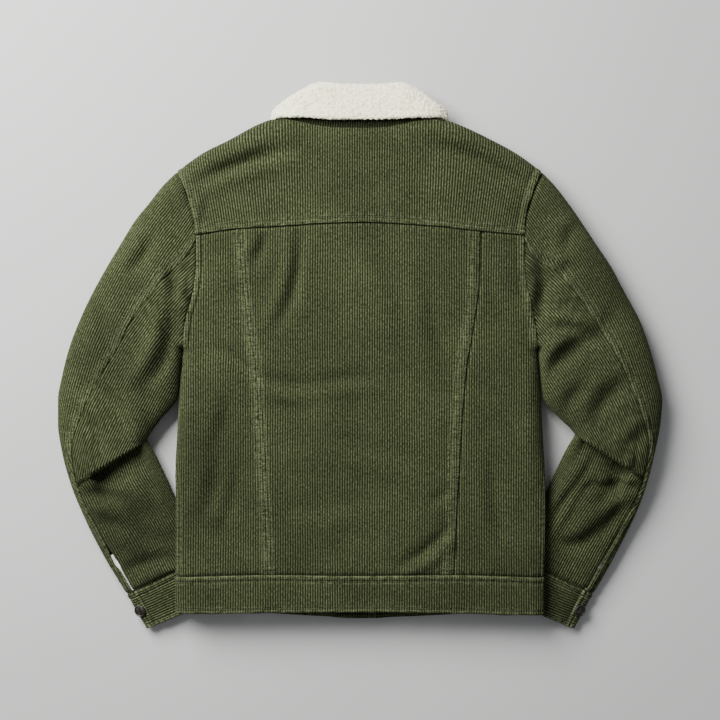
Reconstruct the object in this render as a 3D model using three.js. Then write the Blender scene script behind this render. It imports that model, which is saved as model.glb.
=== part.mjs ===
import * as THREE from "three";

// A corduroy jacket lying on its front, back up. Millimetres. X across, Y from hem to collar, Z up.

// driving sizes
const clothWall = 3;
const sleeveWall = 2.6;
const bandWall = 4;
const cuffWall = 3.6;
const pileWall = 6;
const standWall = 2;
const seamGap = 0.36;
const edgeGap = 0.5;
const armholeGap = 0.7;
const backHeight = 43.5;
const sideRoll = 20;
const shoulderRoll = 22;
const underarmY = 8;
const placketHalf = 20;
const placketRise = 5;
const leafRise = 15;
const cuffLift = 27;
const foldRadius = 9;
const pleatReach = 9;
const pleatStation = 13;
const ventOpen = 4.5;
const buttonRadius = 8;
const buttonHeight = 3.4;

// slot colours
const corduroy = new THREE.MeshStandardMaterial({ name: "corduroy", color: 0x4b5237, roughness: 0.95 });
const sherpa = new THREE.MeshStandardMaterial({ name: "sherpa", color: 0xe8e5da, roughness: 1 });
const lining = new THREE.MeshStandardMaterial({ name: "lining", color: 0xf2f1ec, roughness: 0.9 });
const metal = new THREE.MeshStandardMaterial({ name: "button_metal", color: 0x2a2b2c, roughness: 0.4, metalness: 1 });

// side edges of the body, from underarm to hem
const bodySide = [
  { y: -338, left: -237.5, right: 236.5 },
  { y: -287, left: -237.5, right: 237 },
  { y: -196, left: -237.5, right: 239.5 },
  { y: -146, left: -238.5, right: 238.5 },
  { y: -83, left: -235.5, right: 235.5 },
  { y: -42, left: -233.5, right: 233.5 },
  { y: 8, left: -229, right: 230 },
];
// armhole seams
const armhole = [
  { y: 8, left: -229, right: 230 },
  { y: 28, left: -227.5, right: 227.5 },
  { y: 50, left: -224.5, right: 224 },
  { y: 75, left: -217.5, right: 219 },
  { y: 98, left: -213.2, right: 213.5 },
  { y: 125, left: -211.3, right: 212 },
  { y: 159, left: -212, right: 212 },
  { y: 180, left: -215, right: 213.5 },
  { y: 204, left: -222, right: 220.5 },
  { y: 230, left: -232, right: 230.5 },
  { y: 239, left: -237.3, right: 235.5 },
];
// shoulder lines and back neck edge
const backTop = [
  { x: -237.3, y: 239 },
  { x: -221, y: 251 },
  { x: -200, y: 265 },
  { x: -169, y: 280 },
  { x: -130, y: 300 },
  { x: -113, y: 306 },
  { x: -97, y: 308 },
  { x: -80, y: 305.5 },
  { x: -56, y: 300.3 },
  { x: -30, y: 297.7 },
  { x: 0, y: 297.2 },
  { x: 27, y: 297.7 },
  { x: 52, y: 301.6 },
  { x: 77, y: 306.8 },
  { x: 92, y: 308 },
  { x: 110, y: 305 },
  { x: 130, y: 298 },
  { x: 168, y: 281 },
  { x: 200, y: 264 },
  { x: 235.5, y: 239 },
];
// front neckline, from the placket out to the shoulder, one half
const frontNeck = [
  { x: 0, y: 214 },
  { x: 20, y: 215 },
  { x: 50, y: 226 },
  { x: 80, y: 250 },
  { x: 100, y: 279 },
  { x: 113, y: 305 },
];
const yokeSeam = [
  { x: -212, y: 158.6 },
  { x: -161, y: 166.4 },
  { x: -99, y: 170.3 },
  { x: -47, y: 173.7 },
  { x: 0, y: 175 },
  { x: 96, y: 170.3 },
  { x: 146, y: 164.5 },
  { x: 212, y: 158.6 },
];
const princessSeam = [
  { y: -286, left: -118, right: 120 },
  { y: -228, left: -121, right: 123 },
  { y: -150, left: -125.5, right: 127.5 },
  { y: -80, left: -130, right: 131.5 },
  { y: -4, left: -135.5, right: 138.5 },
  { y: 20, left: -141, right: 143 },
  { y: 100, left: -151, right: 153.5 },
  { y: 166, left: -156, right: 155 },
];
const waistTop = [
  { x: -238, y: -286.5 },
  { x: -118, y: -283.6 },
  { x: 0, y: -284.7 },
  { x: 116, y: -283.6 },
  { x: 238, y: -287.3 },
];
const backHem = [
  { x: -238, y: -333 },
  { x: 0, y: -330.2 },
  { x: 238, y: -334.6 },
];
const frontHem = [
  { x: -238, y: -333.4 },
  { x: -140, y: -334.6 },
  { x: 0, y: -337.4 },
  { x: 150, y: -335.4 },
  { x: 238, y: -335 },
];

// sleeve rings: outer edge, inner edge, height of the top layer
const sleeveLeft = [
  { s: 0, outerX: -237.6, outerY: 239.6, innerX: -230.8, innerY: 6.8, height: 43 },
  { s: 1, outerX: -256, outerY: 221, innerX: -232, innerY: -3, height: 44.5 },
  { s: 2, outerX: -275.6, outerY: 195, innerX: -232.8, innerY: -12, height: 46 },
  { s: 3, outerX: -291, outerY: 175.5, innerX: -234, innerY: -22, height: 47 },
  { s: 4, outerX: -309.5, outerY: 145.5, innerX: -235, innerY: -33, height: 47 },
  { s: 5, outerX: -327.5, outerY: 115.5, innerX: -236, innerY: -44, height: 47 },
  { s: 6, outerX: -346, outerY: 82, innerX: -238.6, innerY: -56, height: 47 },
  { s: 7, outerX: -361.5, outerY: 49.5, innerX: -247, innerY: -68, height: 46.5 },
  { s: 8, outerX: -375.5, outerY: 14, innerX: -257.5, innerY: -79, height: 46 },
  { s: 9, outerX: -386, outerY: -26, innerX: -266, innerY: -90, height: 45.5 },
  { s: 10, outerX: -391.3, outerY: -56, innerX: -271, innerY: -97, height: 45 },
  { s: 11, outerX: -391.5, outerY: -88, innerX: -274.4, innerY: -102, height: 44 },
  { s: 12, outerX: -386.4, outerY: -125, innerX: -277, innerY: -106, height: 42 },
  { s: 13, outerX: -373.5, outerY: -172, innerX: -278.2, innerY: -109.2, height: 38 },
  { s: 14, outerX: -363, outerY: -199, innerX: -268, innerY: -128, height: 33 },
  { s: 15, outerX: -353.6, outerY: -221, innerX: -252.2, innerY: -161.2, height: 28 },
  { s: 16, outerX: -331, outerY: -265, innerX: -229, innerY: -214, height: 23.5 },
  { s: 17, outerX: -316.5, outerY: -290, innerX: -217, innerY: -241, height: 21.5 },
  { s: 18, outerX: -303.5, outerY: -311, innerX: -206.7, innerY: -265.2, height: 20.5 },
  { s: 19, outerX: -291, outerY: -334, innerX: -198, innerY: -292, height: 19.6 },
  { s: 20, outerX: -278.2, outerY: -356.2, innerX: -189.8, innerY: -318.5, height: 18.6 },
];
const sleeveRight = [
  { s: 0, outerX: 235.8, outerY: 239.6, innerX: 231.9, innerY: 6.8, height: 43 },
  { s: 1, outerX: 253, outerY: 221, innerX: 232.8, innerY: -3, height: 44.5 },
  { s: 2, outerX: 272, outerY: 195, innerX: 233.2, innerY: -12, height: 46 },
  { s: 3, outerX: 285, outerY: 175.5, innerX: 234, innerY: -22, height: 47 },
  { s: 4, outerX: 305, outerY: 145.5, innerX: 235, innerY: -33, height: 47 },
  { s: 5, outerX: 325, outerY: 115.5, innerX: 236, innerY: -44, height: 47 },
  { s: 6, outerX: 342.5, outerY: 82, innerX: 238.8, innerY: -56, height: 47 },
  { s: 7, outerX: 360.5, outerY: 49.5, innerX: 247, innerY: -67, height: 46.5 },
  { s: 8, outerX: 374, outerY: 14, innerX: 258, innerY: -78, height: 46 },
  { s: 9, outerX: 385, outerY: -26, innerX: 266, innerY: -86, height: 45.5 },
  { s: 10, outerX: 391.6, outerY: -57, innerX: 272, innerY: -91, height: 45 },
  { s: 11, outerX: 389.3, outerY: -88.4, innerX: 276, innerY: -95.5, height: 44 },
  { s: 12, outerX: 382.5, outerY: -124, innerX: 279, innerY: -99, height: 42 },
  { s: 13, outerX: 373, outerY: -164, innerX: 281, innerY: -102, height: 38 },
  { s: 14, outerX: 362, outerY: -197, innerX: 269, innerY: -123.5, height: 33 },
  { s: 15, outerX: 351, outerY: -222, innerX: 256, innerY: -151, height: 28 },
  { s: 16, outerX: 328, outerY: -268, innerX: 232, innerY: -206, height: 23.5 },
  { s: 17, outerX: 315.5, outerY: -290, innerX: 219, innerY: -238, height: 21.5 },
  { s: 18, outerX: 303.5, outerY: -310.5, innerX: 207, innerY: -264, height: 20.5 },
  { s: 19, outerX: 291, outerY: -333.6, innerX: 198, innerY: -292, height: 19.6 },
  { s: 20, outerX: 279.5, outerY: -356.2, innerX: 190, innerY: -318.5, height: 18.6 },
];
// back seams of the sleeves, armhole to cuff
const seamLeft = [
  { x: -205, y: 155 },
  { x: -221, y: 146.9 },
  { x: -245.7, y: 123.5 },
  { x: -265.2, y: 85.8 },
  { x: -289.9, y: 55.9 },
  { x: -313.3, y: 10.4 },
  { x: -341.9, y: -33.8 },
  { x: -364, y: -85.8 },
  { x: -371.8, y: -109.2 },
  { x: -375.7, y: -140.4 },
  { x: -365.3, y: -172.9 },
  { x: -353.6, y: -202.8 },
  { x: -334.1, y: -234 },
  { x: -295.1, y: -302.9 },
  { x: -290, y: -312 },
];
const seamRight = [
  { x: 205, y: 157 },
  { x: 234, y: 135 },
  { x: 252.2, y: 117 },
  { x: 282.1, y: 78 },
  { x: 310.7, y: 35.8 },
  { x: 334.1, y: -2 },
  { x: 350.4, y: -37.7 },
  { x: 366.6, y: -78 },
  { x: 375, y: -112 },
  { x: 374.5, y: -140 },
  { x: 366, y: -168 },
  { x: 354, y: -198 },
  { x: 336.1, y: -230 },
  { x: 296.4, y: -301.6 },
  { x: 291, y: -312 },
];
// collar band, centre back to leaf tip: neck seam, fold, free edge of the fall; x is for the right half
const collarPath = [
  { t: 0, neckX: 0, neckY: 297.6, neckZ: 30, foldX: 0, foldY: 355, foldZ: 27, edgeX: 0, edgeY: 308, edgeZ: 47.5 },
  { t: 1, neckX: 48, neckY: 301.4, neckZ: 30, foldX: 52, foldY: 355, foldZ: 27, edgeX: 48, edgeY: 308.8, edgeZ: 47.5 },
  { t: 2, neckX: 78, neckY: 307.4, neckZ: 29, foldX: 81, foldY: 347, foldZ: 26, edgeX: 80, edgeY: 311.5, edgeZ: 46 },
  { t: 3, neckX: 92, neckY: 309.4, neckZ: 26, foldX: 101, foldY: 331, foldZ: 24, edgeX: 103, edgeY: 313, edgeZ: 38 },
  { t: 4, neckX: 97, neckY: 309, neckZ: 22, foldX: 108, foldY: 323, foldZ: 19, edgeX: 115, edgeY: 311, edgeZ: 22 },
  { t: 5, neckX: 105, neckY: 294.5, neckZ: 20, foldX: 99, foldY: 311, foldZ: 11, edgeX: 116, edgeY: 292, edgeZ: 3 },
  { t: 6, neckX: 80.5, neckY: 258.5, neckZ: 20, foldX: 73, foldY: 270, foldZ: 11, edgeX: 110, edgeY: 246, edgeZ: 1.6 },
  { t: 7, neckX: 53, neckY: 233.6, neckZ: 20, foldX: 44, foldY: 244, foldZ: 11, edgeX: 90, edgeY: 206, edgeZ: 1.6 },
  { t: 8, neckX: 24, neckY: 219, neckZ: 20, foldX: 15, foldY: 228, foldZ: 11, edgeX: 60, edgeY: 178, edgeZ: 1.6 },
];

const clamp = (v, lo, hi) => Math.min(hi, Math.max(lo, v));
const mix = (a, b, t) => a + (b - a) * t;
const ease = (t) => {
  const c = clamp(t, 0, 1);
  return c * c * (3 - 2 * c);
};

// Smooth reading of one column of a table: cubic pieces that never swing past the values they join.
function read(table, key, column, at) {
  const last = table.length - 1;
  let i = 0;
  while (i < last - 1 && at > table[i + 1][key]) i += 1;
  const slope = (j) => (table[j + 1][column] - table[j][column]) / (table[j + 1][key] - table[j][key]);
  const knot = (j) => {
    if (j === 0) return slope(0);
    if (j === last) return slope(last - 1);
    const a = slope(j - 1);
    const b = slope(j);
    return a * b > 0 ? (2 * a * b) / (a + b) : 0;
  };
  const span = table[i + 1][key] - table[i][key];
  const t = clamp((at - table[i][key]) / span, 0, 1);
  const h = t * t * (3 - 2 * t);
  const a = t * (1 - t) * (1 - t) * span * knot(i);
  const b = t * t * (t - 1) * span * knot(i + 1);
  return mix(table[i][column], table[i + 1][column], h) + a + b;
}

// One closed cloth wall: the outer grid, the same grid moved in along its normals, and the rims.
function wall(name, material, us, vs, point, thickness, turn) {
  const list = turn ? [...us].reverse() : us;
  const step = 1e-3;
  const outer = [];
  const inner = [];
  const a = new THREE.Vector3();
  const b = new THREE.Vector3();
  for (const v of vs) {
    for (const u of list) {
      const p = point(u, v);
      const u0 = clamp(u - step, 0, 1);
      const u1 = clamp(u + step, 0, 1);
      const v0 = clamp(v - step, 0, 1);
      const v1 = clamp(v + step, 0, 1);
      a.subVectors(point(u1, v), point(u0, v));
      b.subVectors(point(u, v1), point(u, v0));
      const n = new THREE.Vector3().crossVectors(a, b).normalize();
      if (turn) n.negate();
      const t = typeof thickness === "function" ? thickness(u, v) : thickness;
      outer.push(p);
      inner.push(p.clone().addScaledVector(n, -t));
    }
  }
  const nu = list.length;
  const nv = vs.length;
  const points = outer.concat(inner);
  const shift = nu * nv;
  const index = [];
  const quad = (i, j, k, l) => index.push(i, j, k, i, k, l);
  for (let r = 0; r < nv - 1; r += 1) {
    for (let c = 0; c < nu - 1; c += 1) {
      const i = r * nu + c;
      quad(i, i + 1, i + nu + 1, i + nu);
      quad(shift + i, shift + i + nu, shift + i + nu + 1, shift + i + 1);
    }
  }
  for (let c = 0; c < nu - 1; c += 1) {
    const low = c;
    const high = (nv - 1) * nu + c;
    quad(low, shift + low, shift + low + 1, low + 1);
    quad(high, high + 1, shift + high + 1, shift + high);
  }
  for (let r = 0; r < nv - 1; r += 1) {
    const near = r * nu;
    const far = r * nu + nu - 1;
    quad(near, near + nu, shift + near + nu, shift + near);
    quad(far, shift + far, shift + far + nu, far + nu);
  }
  return solid(name, material, points, index);
}

function solid(name, material, points, index) {
  const geometry = new THREE.BufferGeometry();
  const flat = new Float32Array(points.length * 3);
  points.forEach((p, i) => p.toArray(flat, i * 3));
  geometry.setAttribute("position", new THREE.BufferAttribute(flat, 3));
  geometry.setIndex(index);
  geometry.computeVertexNormals();
  const mesh = new THREE.Mesh(geometry, material);
  mesh.name = name;
  return mesh;
}

function steps(count) {
  return Array.from({ length: count + 1 }, (_, i) => i / count);
}

// Outer side of the front layer: flat on the surface, raised over buttons, collar leaves and tucked cuffs.
function frontLow(x, y) {
  const w = Math.abs(x);
  const placket = placketRise * (1 - ease((w - 24) / 16));
  const leaves = leafRise * ease((y - 118) / 50) * (1 - ease((w - 126) / 62));
  const cuffs = cuffLift * ease((w - 150) / 42) * ease((-108 - y) / 78);
  return Math.max(placket, leaves) + cuffs;
}

// Outer side of the back layer, with the largest folds.
function backHigh(x, y) {
  const bowl = -0.00003 * x * x;
  const dip = (cx, cy, wide, tall, deep) => -deep * Math.exp(-(((x - cx) / wide) ** 2) - ((y - cy) / tall) ** 2);
  const folds = dip(-205, 243, 42, 14, 2.6) + dip(195, 232, 48, 13, 2.6) + dip(-110, 150, 16, 60, 1.4)
    + dip(-55, -30, 75, 12, 1.8) - dip(-55, -52, 75, 12, 1.6) + dip(85, -245, 48, 14, 1.6);
  const neckDip = -4 * Math.exp(-(((read(backTop, "x", "y", x) - y) / 10) ** 2)) * (1 - ease((Math.abs(x) - 98) / 30));
  return backHeight + bowl + folds + neckDip;
}

// 0 on a rolled edge, 1 further in than the roll.
function rollOver(distance, radius) {
  const t = clamp(distance / radius, 0, 1);
  return Math.sqrt(1 - (1 - t) ** 2);
}

function edgeX(y, side) {
  return y > underarmY ? read(armhole, "y", side, y) : read(bodySide, "y", side, y);
}

function bodyRoll(x, y) {
  const spread = Math.max(0, y - underarmY) * 2.2;
  const left = x - (read(bodySide, "y", "left", Math.min(y, underarmY)) - spread);
  const right = read(bodySide, "y", "right", Math.min(y, underarmY)) + spread - x;
  const lean = 1 + 0.25 * ease((Math.abs(x) - 113) / 40);
  const top = rollOver(read(backTop, "x", "y", x) - y, shoulderRoll * lean);
  const shoulder = ease((Math.abs(x) - 98) / 16);
  return rollOver(Math.min(left, right), sideRoll) * mix(1, top, shoulder);
}

// Height of the body, back layer (+1) or front layer (-1).
function bodyZ(x, y, layer) {
  const high = backHigh(x, y);
  const low = frontLow(x, y);
  const half = (high - low) / 2;
  return (high + low) / 2 + layer * (edgeGap + (half - edgeGap) * bodyRoll(x, y));
}

// Panel between two side lines and a lower and an upper line; the two are solved together.
function panelPoint(u, v, leftOf, rightOf, lowOf, highOf, layer, raise) {
  let y = mix(lowOf(0), highOf(0), v);
  let x = 0;
  for (let i = 0; i < 14; i += 1) {
    x = mix(leftOf(y), rightOf(y), u);
    y = mix(lowOf(x), highOf(x), v);
  }
  return new THREE.Vector3(x, y, bodyZ(x, y, layer) + layer * raise);
}

const g = seamGap / 2;
const seamAt = (table, side) => (y) => read(table, "y", side, y);
const lineAt = (table, by) => (x) => read(table, "x", "y", x) + by;
const toTop = (v) => 1 - (1 - v) ** 2;
const toEdge = (u) => 1 - (1 - u) ** 2;
const toBoth = (u) => (1 - Math.cos(Math.PI * u)) / 2;

const parts = [];

// back
const yokeLeft = (y) => edgeX(y, "left") + g;
const yokeRight = (y) => edgeX(y, "right") - g;
parts.push(wall("back_yoke", corduroy, steps(22), steps(9), (u, v) => panelPoint(toBoth(u), toTop(v),
  yokeLeft, yokeRight, lineAt(yokeSeam, g), lineAt(backTop, 0), 1, 0), clothWall, false));
parts.push(wall("back_center", corduroy, steps(10), steps(14), (u, v) => panelPoint(u, v,
  (y) => seamAt(princessSeam, "left")(y) + 2 * g, (y) => seamAt(princessSeam, "right")(y) - 2 * g,
  lineAt(waistTop, g), lineAt(yokeSeam, -g), 1, 0), clothWall, false));
parts.push(wall("back_side_left", corduroy, steps(8), steps(17), (u, v) => panelPoint(toEdge(u), v,
  (y) => seamAt(princessSeam, "left")(y) - g, (y) => edgeX(y, "left") + (y > underarmY ? g : 0),
  lineAt(waistTop, g), lineAt(yokeSeam, -g), 1, 0), clothWall, true));
parts.push(wall("back_side_right", corduroy, steps(8), steps(17), (u, v) => panelPoint(toEdge(u), v,
  (y) => seamAt(princessSeam, "right")(y) + g, (y) => edgeX(y, "right") - (y > underarmY ? g : 0),
  lineAt(waistTop, g), lineAt(yokeSeam, -g), 1, 0), clothWall, false));

// fronts and placket
const frontTop = (x) => (Math.abs(x) < 113 ? read(frontNeck, "x", "y", Math.abs(x)) : read(backTop, "x", "y", x));
for (const side of ["left", "right"]) {
  const sign = side === "left" ? -1 : 1;
  parts.push(wall(`front_${side}`, corduroy, steps(12), steps(17), (u, v) => panelPoint(toEdge(u), toTop(v),
    () => sign * (placketHalf + g), (y) => edgeX(y, side) - sign * (y > underarmY ? g : 0),
    lineAt(waistTop, g), frontTop, -1, 0), clothWall, side === "right"));
}
parts.push(wall("front_placket", corduroy, steps(4), steps(16), (u, v) => panelPoint(u, v,
  () => -placketHalf + g, () => placketHalf - g, lineAt(waistTop, g), frontTop, -1, 0), clothWall, true));

// waistband
const sideL = (y) => read(bodySide, "y", "left", y);
const sideR = (y) => read(bodySide, "y", "right", y);
parts.push(wall("waistband_back", corduroy, steps(22), steps(3), (u, v) => panelPoint(toBoth(u), v,
  sideL, sideR, lineAt(backHem, 0), lineAt(waistTop, -g), 1, 0), bandWall, false));
parts.push(wall("waistband_left", corduroy, steps(14), steps(3), (u, v) => panelPoint(toEdge(u), v,
  () => placketHalf - g, sideL, lineAt(frontHem, 0), lineAt(waistTop, -g), -1, 0), bandWall, false));
parts.push(wall("waistband_right", corduroy, steps(12), steps(3), (u, v) => panelPoint(toEdge(u), v,
  () => placketHalf + g, sideR, lineAt(frontHem, 0), lineAt(waistTop, -g), -1, 0), bandWall, true));

// How far across a ring, from its outer edge, a seam line crosses it.
function seamShare(ring, seam) {
  const dx = ring.innerX - ring.outerX;
  const dy = ring.innerY - ring.outerY;
  let best = 0.3;
  let miss = Infinity;
  for (let i = 0; i < seam.length - 1; i += 1) {
    const ex = seam[i + 1].x - seam[i].x;
    const ey = seam[i + 1].y - seam[i].y;
    const det = dx * ey - dy * ex;
    const rx = seam[i].x - ring.outerX;
    const ry = seam[i].y - ring.outerY;
    const w = (rx * ey - ry * ex) / det;
    const e = (rx * dy - ry * dx) / det;
    const off = Math.max(0, -e, e - 1);
    if (off < miss) {
      miss = off;
      best = w;
    }
  }
  return clamp(best, 0.02, 0.9);
}

function makeSleeve(side) {
  const left = side === "left";
  const rings = left ? sleeveLeft : sleeveRight;
  const seam = left ? seamLeft : seamRight;
  const seams = rings.map((ring) => ({ s: ring.s, share: seamShare(ring, seam) }));
  seams[0].share = 0.36;
  const at = (column, s) => read(rings, "s", column, s);
  const down = new THREE.Vector3(left ? 0.55 : -0.56, -0.835, 0);

  // strength of the pleat across the ring: none near its tip, full to near the inner edge
  const pleatShare = (w) => ease((w - 0.24) / 0.2) * (1 - ease((w - 0.86) / 0.12));

  // s along the arm, angle round it: 0 outer edge, half turn inner edge, top layer between
  function point(s, angle, fold) {
    const w = (1 - Math.cos(angle)) / 2;
    const top = Math.sin(angle) >= 0;
    const ox = at("outerX", s);
    const oy = at("outerY", s);
    const ix = at("innerX", s);
    const iy = at("innerY", s);
    const nearBody = 1 - ease(s / 2.6);
    const y = mix(oy, iy, w);
    let x = mix(ox, ix, w);
    if (nearBody > 0) {
      const straight = mix(rings[0].outerX, rings[0].innerX, w);
      const curved = read(armhole, "y", side, clamp(mix(rings[0].outerY, rings[0].innerY, w), 8, 239));
      x += nearBody * (curved + (left ? -armholeGap : armholeGap) - straight) * Math.sin(Math.PI * clamp(w, 0, 1)) ** 0.25;
    }
    const full = (1 - Math.abs(Math.cos(angle)) ** 4) ** 0.5;
    let height = at("height", s);
    const p = new THREE.Vector3(x, y, 0);
    if (top) {
      const share = pleatShare(w);
      const near = Math.exp(-(((s - pleatStation) / 2.4) ** 4));
      const level = fold < 0.5
        ? mix(45.5, 39.2, ease((fold - 0.1) / 0.3))
        : mix(39.2, 34, ease((fold - 0.6) / 0.3));
      height = mix(height, level, share * near);
      p.addScaledVector(down, share * pleatReach * Math.sin(2 * Math.PI * fold));
    }
    p.z = height / 2 + (top ? 1 : -1) * (height / 2) * full;
    if (nearBody > 0) p.z = mix(p.z, bodyZ(p.x + (left ? armholeGap : -armholeGap), p.y, top ? 1 : -1), nearBody);
    return p;
  }

  // v runs 0..1 down the arm, with a stretch at the pleat where only the fold runs
  const pleatAt = pleatStation - 0.25;
  const turns = 0.28;
  const from = 0.02;
  function arm(v) {
    const before = pleatAt / 18 * (1 - turns);
    if (v < before) return [from + (pleatAt - from) * (v / before), 0];
    if (v < before + turns) {
      const f = (v - before) / turns;
      return [pleatAt + 0.5 * f, f];
    }
    const rest = (v - before - turns) / (1 - before - turns);
    return [pleatAt + 0.5 + (17.992 - pleatAt - 0.5) * rest, 1];
  }
  const seamAngle = (s) => Math.acos(1 - 2 * read(seams, "s", "share", s));
  const opening = (s) => ease((s - 15.45) / 0.5) * (1 - 0.5 * ease((s - 16.6) / 1.2));
  const turnBy = (s, angle, mm) => mm * 0.02 / point(s, angle + 0.01, 0).distanceTo(point(s, angle - 0.01, 0));
  const lowSeam = (s) => 2 * Math.PI - seamAngle(s) * 0.85 - 0.25;

  const before = pleatAt / 18 * (1 - turns);
  const rows = [];
  const plain = [];
  for (let i = 0; i < 11; i += 1) rows.push(before * i / 11);
  for (let i = 0; i < 12; i += 1) rows.push(before + turns * i / 12);
  for (let i = 0; i <= 7; i += 1) rows.push(before + turns + (1 - before - turns) * i / 7);
  rows.forEach((row, i) => {
    if (i < 11 || i > 22 || (i - 11) % 4 === 0) plain.push(row);
  });

  parts.push(wall(`sleeve_under_${side}`, corduroy, steps(14), rows, (u, v) => {
    const [s, fold] = arm(v);
    const a0 = seamAngle(s) + turnBy(s, seamAngle(s), g + ventOpen * opening(s));
    const a1 = lowSeam(s) - turnBy(s, lowSeam(s), g);
    return point(s, mix(a0, a1, u), fold);
  }, sleeveWall, left));

  parts.push(wall(`sleeve_outer_${side}`, corduroy, steps(9), plain, (u, v) => {
    const [s] = arm(v);
    const a0 = lowSeam(s) - 2 * Math.PI + turnBy(s, lowSeam(s), g);
    const a1 = seamAngle(s) - turnBy(s, seamAngle(s), g + 0.6 * opening(s));
    return point(s, mix(a0, a1, u), 0);
  }, sleeveWall, left));

  // lining behind the open vent
  parts.push(wall(`vent_lining_${side}`, lining, steps(3), steps(6), (u, v) => {
    const s = mix(15.5, 17.9, v);
    const a = seamAngle(s) + turnBy(s, seamAngle(s), mix(-3, ventOpen + 6, u));
    const p = point(s, a, 1);
    p.z -= sleeveWall + 1.2;
    return p;
  }, 1, left));

  // cuff: one band that laps over its own end
  const cuffPoint = (u, v) => {
    const s = mix(18.006, 20, v);
    const end = Math.acos(1 - 2 * 0.13);
    const a = mix(0.36, 2 * Math.PI + end, u);
    const p = point(s, a, 1);
    return p;
  };
  const cuffTuck = (u) => (cuffWall + 0.5) * (1 - ease((u - 0.03) / 0.09));
  const cuffBase = (u, v) => {
    const p = cuffPoint(u, v);
    const e = 1e-3;
    const a = new THREE.Vector3().subVectors(cuffPoint(u + e, v), cuffPoint(u - e, v));
    const b = new THREE.Vector3().subVectors(cuffPoint(u, v + e), cuffPoint(u, v - e));
    const n = a.cross(b).normalize().multiplyScalar(left ? -1 : 1);
    return p.addScaledVector(n, -cuffTuck(u));
  };
  const around = [0, 0.02, 0.04, 0.06, 0.08, 0.1, 0.12];
  for (let i = 1; i <= 20; i += 1) around.push(0.12 + 0.88 * i / 20);
  parts.push(wall(`cuff_${side}`, corduroy, around, steps(3), cuffBase, cuffWall, left));

  // cuff button on the overlap
  const angle = Math.acos(1 - 2 * 0.055);
  const c = point(19, angle, 1);
  const n = new THREE.Vector3().subVectors(point(19, angle + 0.01, 1), point(19, angle - 0.01, 1))
    .cross(new THREE.Vector3().subVectors(point(19.01, angle, 1), point(18.99, angle, 1))).normalize();
  if (n.z < 0) n.negate();
  parts.push(button(`cuff_button_${side}`, c, n, 0.35));
  return point;
}

// Round metal button: a low turned form, moved off the cloth along its normal.
function button(name, centre, normal, lift) {
  const profile = [
    { r: 0, h: 0 },
    { r: buttonRadius * 0.9, h: 0 },
    { r: buttonRadius, h: 0.8 },
    { r: buttonRadius, h: 2 },
    { r: buttonRadius * 0.86, h: buttonHeight },
    { r: buttonRadius * 0.6, h: buttonHeight - 0.5 },
    { r: 0, h: buttonHeight - 0.3 },
  ];
  const count = 16;
  const points = [];
  const index = [];
  const up = normal.clone().normalize();
  const side = new THREE.Vector3(0, 1, 0).cross(up).normalize();
  const other = up.clone().cross(side);
  const place = (r, h, a) => centre.clone().addScaledVector(up, lift + h)
    .addScaledVector(side, r * Math.cos(a)).addScaledVector(other, r * Math.sin(a));
  points.push(place(0, profile[0].h, 0));
  for (let k = 1; k < profile.length - 1; k += 1) {
    for (let i = 0; i < count; i += 1) points.push(place(profile[k].r, profile[k].h, 2 * Math.PI * i / count));
  }
  points.push(place(0, profile[profile.length - 1].h, 0));
  const last = points.length - 1;
  const ringAt = (k, i) => 1 + (k - 1) * count + (i % count);
  for (let i = 0; i < count; i += 1) {
    index.push(0, ringAt(1, i + 1), ringAt(1, i));
    for (let k = 1; k < profile.length - 2; k += 1) {
      index.push(ringAt(k, i), ringAt(k, i + 1), ringAt(k + 1, i + 1));
      index.push(ringAt(k, i), ringAt(k + 1, i + 1), ringAt(k + 1, i));
    }
    index.push(ringAt(profile.length - 2, i), ringAt(profile.length - 2, i + 1), last);
  }
  return solid(name, metal, points, index);
}

makeSleeve("left");
makeSleeve("right");

// front buttons, under the placket and the waistband
const buttonRows = [
  { y: 195 },
  { y: 105 },
  { y: 15 },
  { y: -75 },
  { y: -165 },
  { y: -310 },
];
buttonRows.forEach((row, i) => {
  const z = bodyZ(0, row.y, -1);
  parts.push(button(`front_button_${i + 1}`, new THREE.Vector3(0, row.y, z), new THREE.Vector3(0, 0, -1), 0.5));
});

// Collar: a folded pile band. Each station has a stand leg, a half round fold and a fall leg.
function collarFrame(t) {
  const w = Math.abs(t);
  const sign = t < 0 ? -1 : 1;
  const get = (name) => new THREE.Vector3(sign * read(collarPath, "t", `${name}X`, w),
    read(collarPath, "t", `${name}Y`, w), read(collarPath, "t", `${name}Z`, w));
  const neck = get("neck");
  if (w < 3) neck.y = mix(read(backTop, "x", "y", neck.x) + seamGap, neck.y, ease(w - 2));
  const fold = get("fold");
  const edge = get("edge");
  const out = fold.clone().sub(neck.clone().add(edge).multiplyScalar(0.5)).normalize();
  const across = edge.clone().sub(neck);
  across.addScaledVector(out, -across.dot(out)).normalize();
  const centre = fold.clone().addScaledVector(out, -foldRadius);
  return { neck, edge, out, across, centre };
}

function collarPoint(t, v) {
  const f = collarFrame(t);
  const bend = [0.38, 0.62];
  if (v <= bend[0]) {
    const start = f.centre.clone().addScaledVector(f.across, -foldRadius);
    return f.neck.clone().lerp(start, v / bend[0]);
  }
  if (v >= bend[1]) {
    const start = f.centre.clone().addScaledVector(f.across, foldRadius);
    return start.lerp(f.edge, (v - bend[1]) / (1 - bend[1]));
  }
  const a = Math.PI * (v - bend[0]) / (bend[1] - bend[0]) - Math.PI / 2;
  return f.centre.clone().addScaledVector(f.out, foldRadius * Math.cos(a)).addScaledVector(f.across, foldRadius * Math.sin(a));
}

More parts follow.
